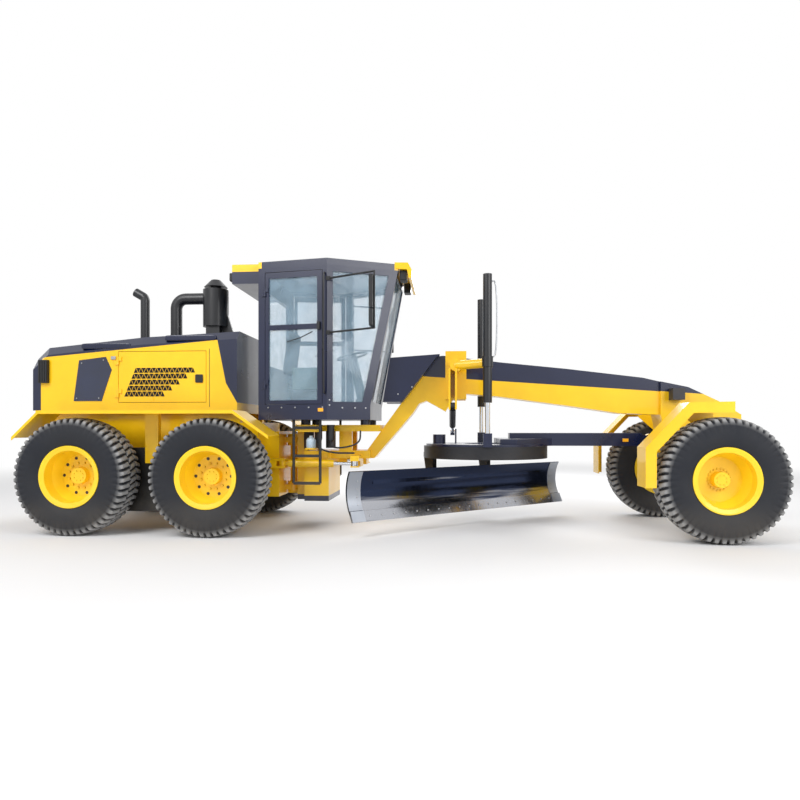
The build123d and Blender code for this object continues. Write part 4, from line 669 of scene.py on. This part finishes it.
DRAWBAR_FACE = 0.1305
plates("drawbar_reflectors", "drawbar_body", amber,
       [((2.98, sign * DRAWBAR_FACE - 0.002, 1.062), (3.05, sign * DRAWBAR_FACE + 0.002, 1.102))
        for _, sign in SIDES])


# ---------------------------------------------------------------- window, vents, louvres and lamps
def in_side_view(corners, y):
    """Corners given as X and Z, all at one Y."""
    return [(x, y, z) for x, z in corners]


WINDOW = ((-3.7175, 2.07), (-3.3725, 2.11), (-3.2975, 1.95), (-3.4275, 1.565), (-3.7875, 1.565))
# vent rows: middle height, first middle, count of upright triangles
VENTS = ((1.650, -3.1105, 8), (1.722, -3.0805, 9), (1.795, -3.0505, 10), (1.868, -3.0205, 11),
         (1.940, -2.9905, 12))
LAMP_RIBS = (-4.214, -4.184, -4.154, -4.124)
VENT_PITCH, VENT_HALF, VENT_RISE = 0.0657, 0.027, 0.031
# work lamps: name, finish, slot, middle y, half width, x range, z range
WORK_LAMPS = (
    ("rear_work_lamps", plastic, "mirror_heads", 0.40, 0.08, (-1.862, -1.791), (3.05, 3.15)),
    ("rear_work_lenses", white_lens, "cab_glazing", 0.40, 0.068, (-1.866, -1.861), (3.06, 3.14)),
    ("front_work_lamps", plastic, "mirror_heads", 0.36, 0.085, (0.250, 0.335), (3.03, 3.153)),
    ("front_work_lenses", white_lens, "cab_glazing", 0.36, 0.072, (0.333, 0.339), (3.045, 3.135)),
)
for side, sign in SIDES:
    face = sign * HOOD_Y
    window = Batch()
    window.prism(in_side_view(WINDOW, face - sign * 0.001), (0, sign * 0.006, 0))
    window.make(f"hood_window_{side}", "chassis_rear", dark_pane)
    # door vents: dark triangles laid on the door, painted shade in place of the openings
    vents = Batch()
    for z, first, count in VENTS:
        for k in range(2 * count - 1):
            x, up = first + k * VENT_PITCH / 2, 1 if k % 2 == 0 else -1
            base, tip = z - up * VENT_RISE, z + up * VENT_RISE
            corners = ((x - VENT_HALF, base), (x + VENT_HALF, base), (x, tip))
            vents.prism(in_side_view(corners, face - sign * 0.001), (0, sign * 0.0022, 0))
    vents.make(f"door_vents_{side}", f"engine_door_body_{side}", vent_shade)
    plates(f"hood_handles_{side}", "chassis_rear", zinc,
           [((-3.305, face - 0.003, 2.075), (-3.245, face + sign * 0.012, 2.115))])
    plates(f"tail_lamp_ribs_{side}", "chassis_rear", plastic,
           [((x, sign * 0.664, 1.80), (x + 0.014, sign * 0.672, 2.065)) for x in LAMP_RIBS])
    plates(f"tail_lenses_{side}", "chassis_rear", red_lens,
           [((-4.2285, sign * 0.6425 - 0.017, z0), (-4.2225, sign * 0.6425 + 0.017, z1))
            for z0, z1 in ((1.805, 1.925), (1.935, 2.06))])
    for name, material, slot, y, half, (x0, x1), (z0, z1) in WORK_LAMPS:
        plates(f"{name}_{side}", "chassis_front", material,
               [((x0, sign * y - half, z0), (x1, sign * y + half, z1))])

slats = [((-4.327, -0.505, z), (-4.3185, 0.505, z + 0.016)) for z in np.arange(1.525, 2.03, 0.04)]
slats += [((-4.329, y - 0.01, 1.505), (-4.3185, y + 0.01, 2.035)) for y in (-0.25, 0.25)]
plates("grille_slats", "chassis_rear", black, slats)
plates("cooling_box_slats", "chassis_front", plastic,
       [((-1.7985, -0.26, z), (-1.791, 0.26, z + 0.012)) for z in np.arange(3.02, 3.20, 0.028)])


# ---------------------------------------------------------------- cab fittings
# the left wall's ends in plan: x, y; the right wall is its mirror image
CAB_SIDE = ((-1.4275, 0.70), (-0.5675, 0.85))
CAB_LEAD = ((-0.5675, 0.85), (0.2325, 0.48))
RAIL_X, RAIL_Z = -0.592, (1.64, 3.04)                   # grab rail's place, and its low and high feet
WIPER = ((-1.06, 2.25), (-0.90, 2.29), (-0.74, 2.36))   # the door wiper's path: x, z


def on_cab(wall, along, out, sign):
    """The place on a cab wall at an X, moved outwards from its face, and the wall's turn about Z."""
    (x0, y0), (x1, y1) = wall
    slope = (y1 - y0) / (x1 - x0)
    angle = np.arctan(slope) * sign
    y = y0 + slope * (along - x0)
    turn = np.array([[np.cos(angle), -np.sin(angle), 0], [np.sin(angle), np.cos(angle), 0], [0, 0, 1]])
    normal = np.array([-np.sin(angle) * sign, np.cos(angle) * sign, 0])
    return np.array([along, sign * y, 0.0]) + normal * out, turn


def cab_slabs(name, body, material, wall, sign, slabs):
    """Slabs laid on a cab wall: middle X, low Z, high Z, half width along the wall, and the slab's depth."""
    batch = Batch()
    for x, z0, z1, half, depth in slabs:
        place, turn = on_cab(wall, x, depth / 2 - 0.001, sign)
        middle = place + (0, 0, (z0 + z1) / 2)
        size = np.array([half, depth / 2, (z1 - z0) / 2])
        batch.plate(middle - size, middle + size, turn)
    batch.make(name, body, material)


def cab_bolts(name, body, wall, sign, spots):
    """Bolt heads on a cab wall at a list of X and Z."""
    batch = Batch()
    for x, z in spots:
        place, turn = on_cab(wall, x, 0.0, sign)
        batch.lathe(HEX, place + (0, 0, z), turn @ np.array([0.0, sign, 0.0]), 6)
    batch.make(name, body, zinc, 30.0)


for side, sign in SIDES:
    cab_slabs(f"door_handle_{side}", f"cab_door_body_{side}", plastic, CAB_SIDE, sign,
              [(-0.665, 2.385, 2.475, 0.018, 0.03)])
    cab_bolts(f"skirt_bolts_{side}", "chassis_front", CAB_SIDE, sign,
              [(x, 1.475) for x in (-1.30, -1.13, -0.96, -0.79, -0.62)])
    cab_bolts(f"lead_bolts_{side}", "chassis_front", CAB_LEAD, sign,
              ((-0.54, 1.50), (-0.54, 1.56), (-0.40, 1.47), (-0.26, 1.47), (-0.14, 1.47)))
    cab_slabs(f"skirt_reflector_{side}", "chassis_front", amber, CAB_SIDE, sign,
              [(-0.645, 1.425, 1.465, 0.034, 0.005)])
    rail = Batch()
    foot = on_cab(CAB_SIDE, RAIL_X, 0.0, sign)[0]
    grip = on_cab(CAB_SIDE, RAIL_X, 0.05, sign)[0]
    low, high = (0, 0, RAIL_Z[0]), (0, 0, RAIL_Z[1])
    rail.tube(bent([foot + low, grip + low, grip + high, foot + high]), 0.0105)
    rail.make(f"grab_rail_{side}", "chassis_front", black, 40.0)
    wiper = Batch()
    path = [on_cab(CAB_SIDE, x, 0.012, sign)[0] + (0, 0, z) for x, z in WIPER]
    wiper.tube(path, 0.0065, 8)
    wiper.make(f"door_wiper_{side}", f"cab_door_body_{side}", plastic, 40.0)

plates("side_console_top", "chassis_front", console_green,
       [((-1.04, -0.62, 1.69), (-0.70, -0.44, 1.96))])
plates("side_console_foot", "chassis_front", plastic,
       [((-1.06, -0.64, 1.421), (-0.68, -0.42, 1.688))])


# ---------------------------------------------------------------- hydraulics under the cab
plates("step_boxes", "chassis_front", yellow,
       [((-0.956, sign * 0.63 - 0.045, 1.185), (-0.684, sign * 0.63 + 0.045, 1.271)) for _, sign in SIDES])
plates("bottle_shelf", "chassis_front", yellow,
       [((-0.872, -0.665, 0.972), (-0.748, -0.50, 0.9905))])
TANK_Y, TANK_TOP, NECK_R = -0.585, 1.271, 0.016
tanks = Batch()
# accumulators: x, radius, foot's height
for x, r, z in ((-0.712, 0.036, 1.075), (-0.573, 0.047, 1.07)):
    profile = [(0.0, z - 0.03), (NECK_R, z - 0.03), (NECK_R, z - 0.004), (r * 0.72, z), (r, z + 0.03),
               (r, TANK_TOP), (0.0, TANK_TOP)]
    tanks.lathe(profile, (x, TANK_Y, 0.0), (0, 0, 1), 28)
tanks.make("accumulators", "chassis_front", black, 40.0)
jar = Batch()
jar.lathe([(0.0, 0.99), (0.05, 0.99), (0.058, 1.0), (0.058, 1.085), (0.045, 1.11), (0.022, 1.12),
           (0.022, 1.14), (0.0, 1.14)], (-0.81, -0.60, 0.0), (0, 0, 1), 28)
jar.make("fluid_bottle", "chassis_front", bottle, 40.0)
pipes = Batch()
# each pipe runs from a neck to the frame
for path in (
        ((-0.712, TANK_Y, 1.05), (-0.712, TANK_Y, 0.98), (-0.55, -0.57, 0.93), (-0.30, -0.56, 0.93),
         (-0.30, -0.53, 0.93)),
        ((-0.573, TANK_Y, 1.045), (-0.573, TANK_Y, 1.00), (-0.42, -0.57, 0.99), (-0.22, -0.56, 1.05),
         (-0.22, -0.52, 1.20))):
    pipes.tube(bent(path, power=3), 0.0105, 10)
pipes.make("accumulator_pipes", "chassis_front", black, 40.0)


# ---------------------------------------------------------------- blade's end bits and bolts
BLADE_TURN, CIRCLE_MID = np.radians(49.0), np.array([1.3025, 0.0])
BLADE_BACK, BLADE_SHIFT = 0.15, -0.13
BACKWARDS = np.array([-np.cos(BLADE_TURN), np.sin(BLADE_TURN)])
ALONG = np.array([np.sin(BLADE_TURN), np.cos(BLADE_TURN)])
BIT_OUTER, BIT_INNER, BIT_PROUD = 1.779, 1.60, 0.007
# points of the blade's front face: how far back, height
FACE_FOOT, FACE_MIDDLE, FACE_TOP = (0.0, 0.235), (0.095, 0.48), (0.03, 0.745)
# section of a bit's foot, in front of the cutting edge: how far back, height
BIT_FOOT = ((-0.036, 0.178), (-0.028, 0.176), (0.026, 0.294), (0.018, 0.296))
EDGE_BACK, EDGE_UP = 0.912, 0.41            # the cutting edge's front face looks ahead and up by these shares


def on_blade(u, v, z):
    """A place on the blade: u along it to its left end, v behind its front face's foot, z up."""
    x, y = CIRCLE_MID + BACKWARDS * (BLADE_BACK + v) + ALONG * (BLADE_SHIFT + u)
    return np.array([x, y, z])


def face_circle():
    """Centre and radius of the arc through the face's foot, middle and top: equal distance from all three."""
    p, q, r = (np.array(c) for c in (FACE_FOOT, FACE_MIDDLE, FACE_TOP))
    centre = np.linalg.solve(2 * np.array([q - p, r - q]), np.array([q @ q - p @ p, r @ r - q @ q]))
    return centre, np.hypot(*(p - centre))


FACE_CENTRE, FACE_RADIUS = face_circle()


def hollow(z):
    """How far the blade's front face lies back at a height, on its arc."""
    return FACE_CENTRE[0] + np.sqrt(FACE_RADIUS ** 2 - (z - FACE_CENTRE[1]) ** 2)


heights = np.linspace(0.30, 0.738, 15)
bits, studs = Batch(), Batch()
for end in (-1, 1):
    outer = end * BIT_OUTER
    inwards = on_blade(end * BIT_INNER, 0, 0) - on_blade(outer, 0, 0)
    outline = [on_blade(outer, hollow(z) - BIT_PROUD, z) for z in heights]
    outline += [on_blade(outer, hollow(z) + 0.004, z) for z in heights[::-1]]
    bits.prism(outline, inwards)
    bits.prism([on_blade(outer, v, z) for v, z in BIT_FOOT], inwards)
    for z in (0.36, 0.45, 0.54, 0.63):
        studs.lathe(HEX, on_blade(end * 1.65, hollow(z) - BIT_PROUD, z), (*-BACKWARDS, 0.0), 6)
for u in np.arange(-1.53, 1.54, 0.17):
    studs.lathe(HEX, on_blade(u, -0.001, 0.235), (*(-BACKWARDS * EDGE_BACK), EDGE_UP), 6)
bits.make("end_bits", "blade_body", edge_steel, 30.0)
studs.make("blade_bolts", "blade_body", zinc, 30.0)


# ---------------------------------------------------------------- seat
def cushion(name, centre, half, lean, crown):
    """A padded block: a soft box whose large faces rise by a cosine crown and whose sides pull in."""
    bb, aa = soft_box_angles(29, 72, 0.04)
    pull = 1.0 - 0.035 * (1.0 - np.abs(np.sin(2 * aa)))
    u = softened(np.cos(bb), 0.30) * softened(np.cos(aa), 0.32) * pull
    v = softened(np.cos(bb), 0.30) * softened(np.sin(aa), 0.32) * pull
    channel = 0.012 * np.exp(-((np.abs(v) - 0.62) / 0.035) ** 2)
    w = softened(np.sin(bb), 0.55) * (1.0 + crown * np.cos(u * np.pi / 2) * np.cos(v * np.pi / 2))
    local = np.stack([u * half[0], v * half[1], w * half[2] - np.sign(w) * channel], -1)
    c, n = np.cos(lean), np.sin(lean)
    points = local @ np.array([[c, 0, -n], [0, 1, 0], [n, 0, c]]) + np.asarray(centre)
    piece = mesh_piece(name, points, soft_box_faces(29, 72), "chassis_front", cloth, 60.0)
    return piece


seat_low, seat_high = (np.array(c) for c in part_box("operator_seat"))
seat_x = seat_high[0] - 0.25
base = cushion("seat_cushion", (seat_x, 0.0, 1.815), (0.235, 0.235, 0.052), 0.0, 0.18)
back = cushion("back_cushion", (seat_low[0] + 0.105, 0.0, 2.19), (0.285, 0.225, 0.046), -1.43, 0.2)
post = Batch()
post.lathe([(0.0, 1.42), (0.15, 1.42), (0.15, 1.45), (0.085, 1.48), (0.075, 1.62), (0.11, 1.68), (0.16, 1.70),
            (0.16, 1.755), (0.0, 1.755)], (seat_x - 0.1, 0.0, 0.0), (0, 0, 1), 32)
pedestal = post.make("seat_pedestal", "chassis_front", plastic)
for piece in (base, back, pedestal):
    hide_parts("operator_seat")


# ---------------------------------------------------------------- stage
def stage():
    """A pale round floor that fades to white away from the machine, soft area lights and the camera."""
    radius = 60.0
    angle = np.arange(96) * 2 * np.pi / 96
    rings = np.array([0.0, 6.0, 12.0, 20.0, 35.0, radius])
    points = np.stack([np.outer(rings, np.cos(angle)), np.outer(rings, np.sin(angle)), np.zeros((6, 96))], -1)
    points[..., 2] = -0.001
    mesh = bpy.data.meshes.new("floor")
    mesh.from_pydata(points.reshape(-1, 3).tolist(), [], grid_faces(6, 96, False, True)[:, ::-1].tolist())
    floor = bpy.data.objects.new("floor", mesh)
    bpy.context.scene.collection.objects.link(floor)
    material, net, bsdf = shader("floor")
    bsdf.inputs["Base Color"].default_value = (0.86, 0.86, 0.87, 1.0)
    bsdf.inputs["Roughness"].default_value = 0.85
    place = net.add("ShaderNodeTexCoord").outputs["Object"]
    reach = net.add("ShaderNodeVectorMath", {"operation": "LENGTH"}, i0=place).outputs["Value"]
    fade = net.add("ShaderNodeMapRange", {"interpolation_type": "SMOOTHSTEP"}, i0=reach, i1=7.0, i2=18.0,
                   i3=0.0, i4=1.0)
    path = net.add("ShaderNodeLightPath")
    seen = net.maths("MAXIMUM", path.outputs["Is Camera Ray"], path.outputs["Is Glossy Ray"])
    glow = net.add("ShaderNodeEmission", Color=(1.0, 1.0, 1.0, 1.0), Strength=1.0)
    far = net.maths("MULTIPLY", fade.outputs[0], seen)
    blend = net.add("ShaderNodeMixShader", i0=far, i1=bsdf.outputs[0], i2=glow.outputs[0])
    net.tree.links.new(blend.outputs[0], net.tree.nodes["Material Output"].inputs["Surface"])
    mesh.materials.append(material)
    # name: place, aim, size, power
    lights = {
        "key": ((-5.5, -8.0, 8.5), (0.0, 0.0, 1.0), 6.0, 700.0),
        "fill": ((7.5, -7.0, 5.0), (0.5, 0.0, 1.0), 6.0, 380.0),
        "back": ((2.0, 8.0, 7.5), (0.0, 0.0, 1.2), 7.0, 620.0),
    }
    for name, (place, aim, size, power) in lights.items():
        lamp = bpy.data.lights.new(name, "AREA")
        lamp.shape, lamp.size, lamp.energy = "DISK", size, power
        holder = bpy.data.objects.new(name, lamp)
        bpy.context.scene.collection.objects.link(holder)
        holder.location = place
        to = np.array(aim) - np.array(place)
        to = to / np.linalg.norm(to)
        holder.rotation_euler = (np.arccos(-to[2]), 0.0, np.arctan2(to[1], to[0]) - np.pi / 2)
    world = bpy.data.worlds.new("sky")
    world.use_nodes = True
    bpy.context.scene.world = world
    net = Net(world.node_tree)
    back = world.node_tree.nodes["Background"]
    path = net.add("ShaderNodeLightPath")
    seen = net.maths("MAXIMUM", path.outputs["Is Camera Ray"], path.outputs["Is Glossy Ray"])
    seen = net.maths("MAXIMUM", seen, path.outputs["Is Transmission Ray"])
    strength = net.add("ShaderNodeMapRange", i0=seen, i1=0.0, i2=1.0, i3=0.55, i4=1.0)
    back.inputs["Color"].default_value = (1.0, 1.0, 1.0, 1.0)
    net.tree.links.new(strength.outputs[0], back.inputs["Strength"])
    eye = bpy.data.cameras.new("camera")
    eye.lens, eye.sensor_width, eye.shift_y = 28.68, 36.0, 0.0344
    eye.clip_end = 200.0
    camera = bpy.data.objects.new("camera", eye)
    bpy.context.scene.collection.objects.link(camera)
    camera.location = (0.8655, -8.175, 1.238)
    camera.rotation_euler = (np.pi / 2, 0.0, 0.079)
    bpy.context.scene.camera = camera
    bpy.context.scene.view_settings.view_transform = "Standard"


stage()
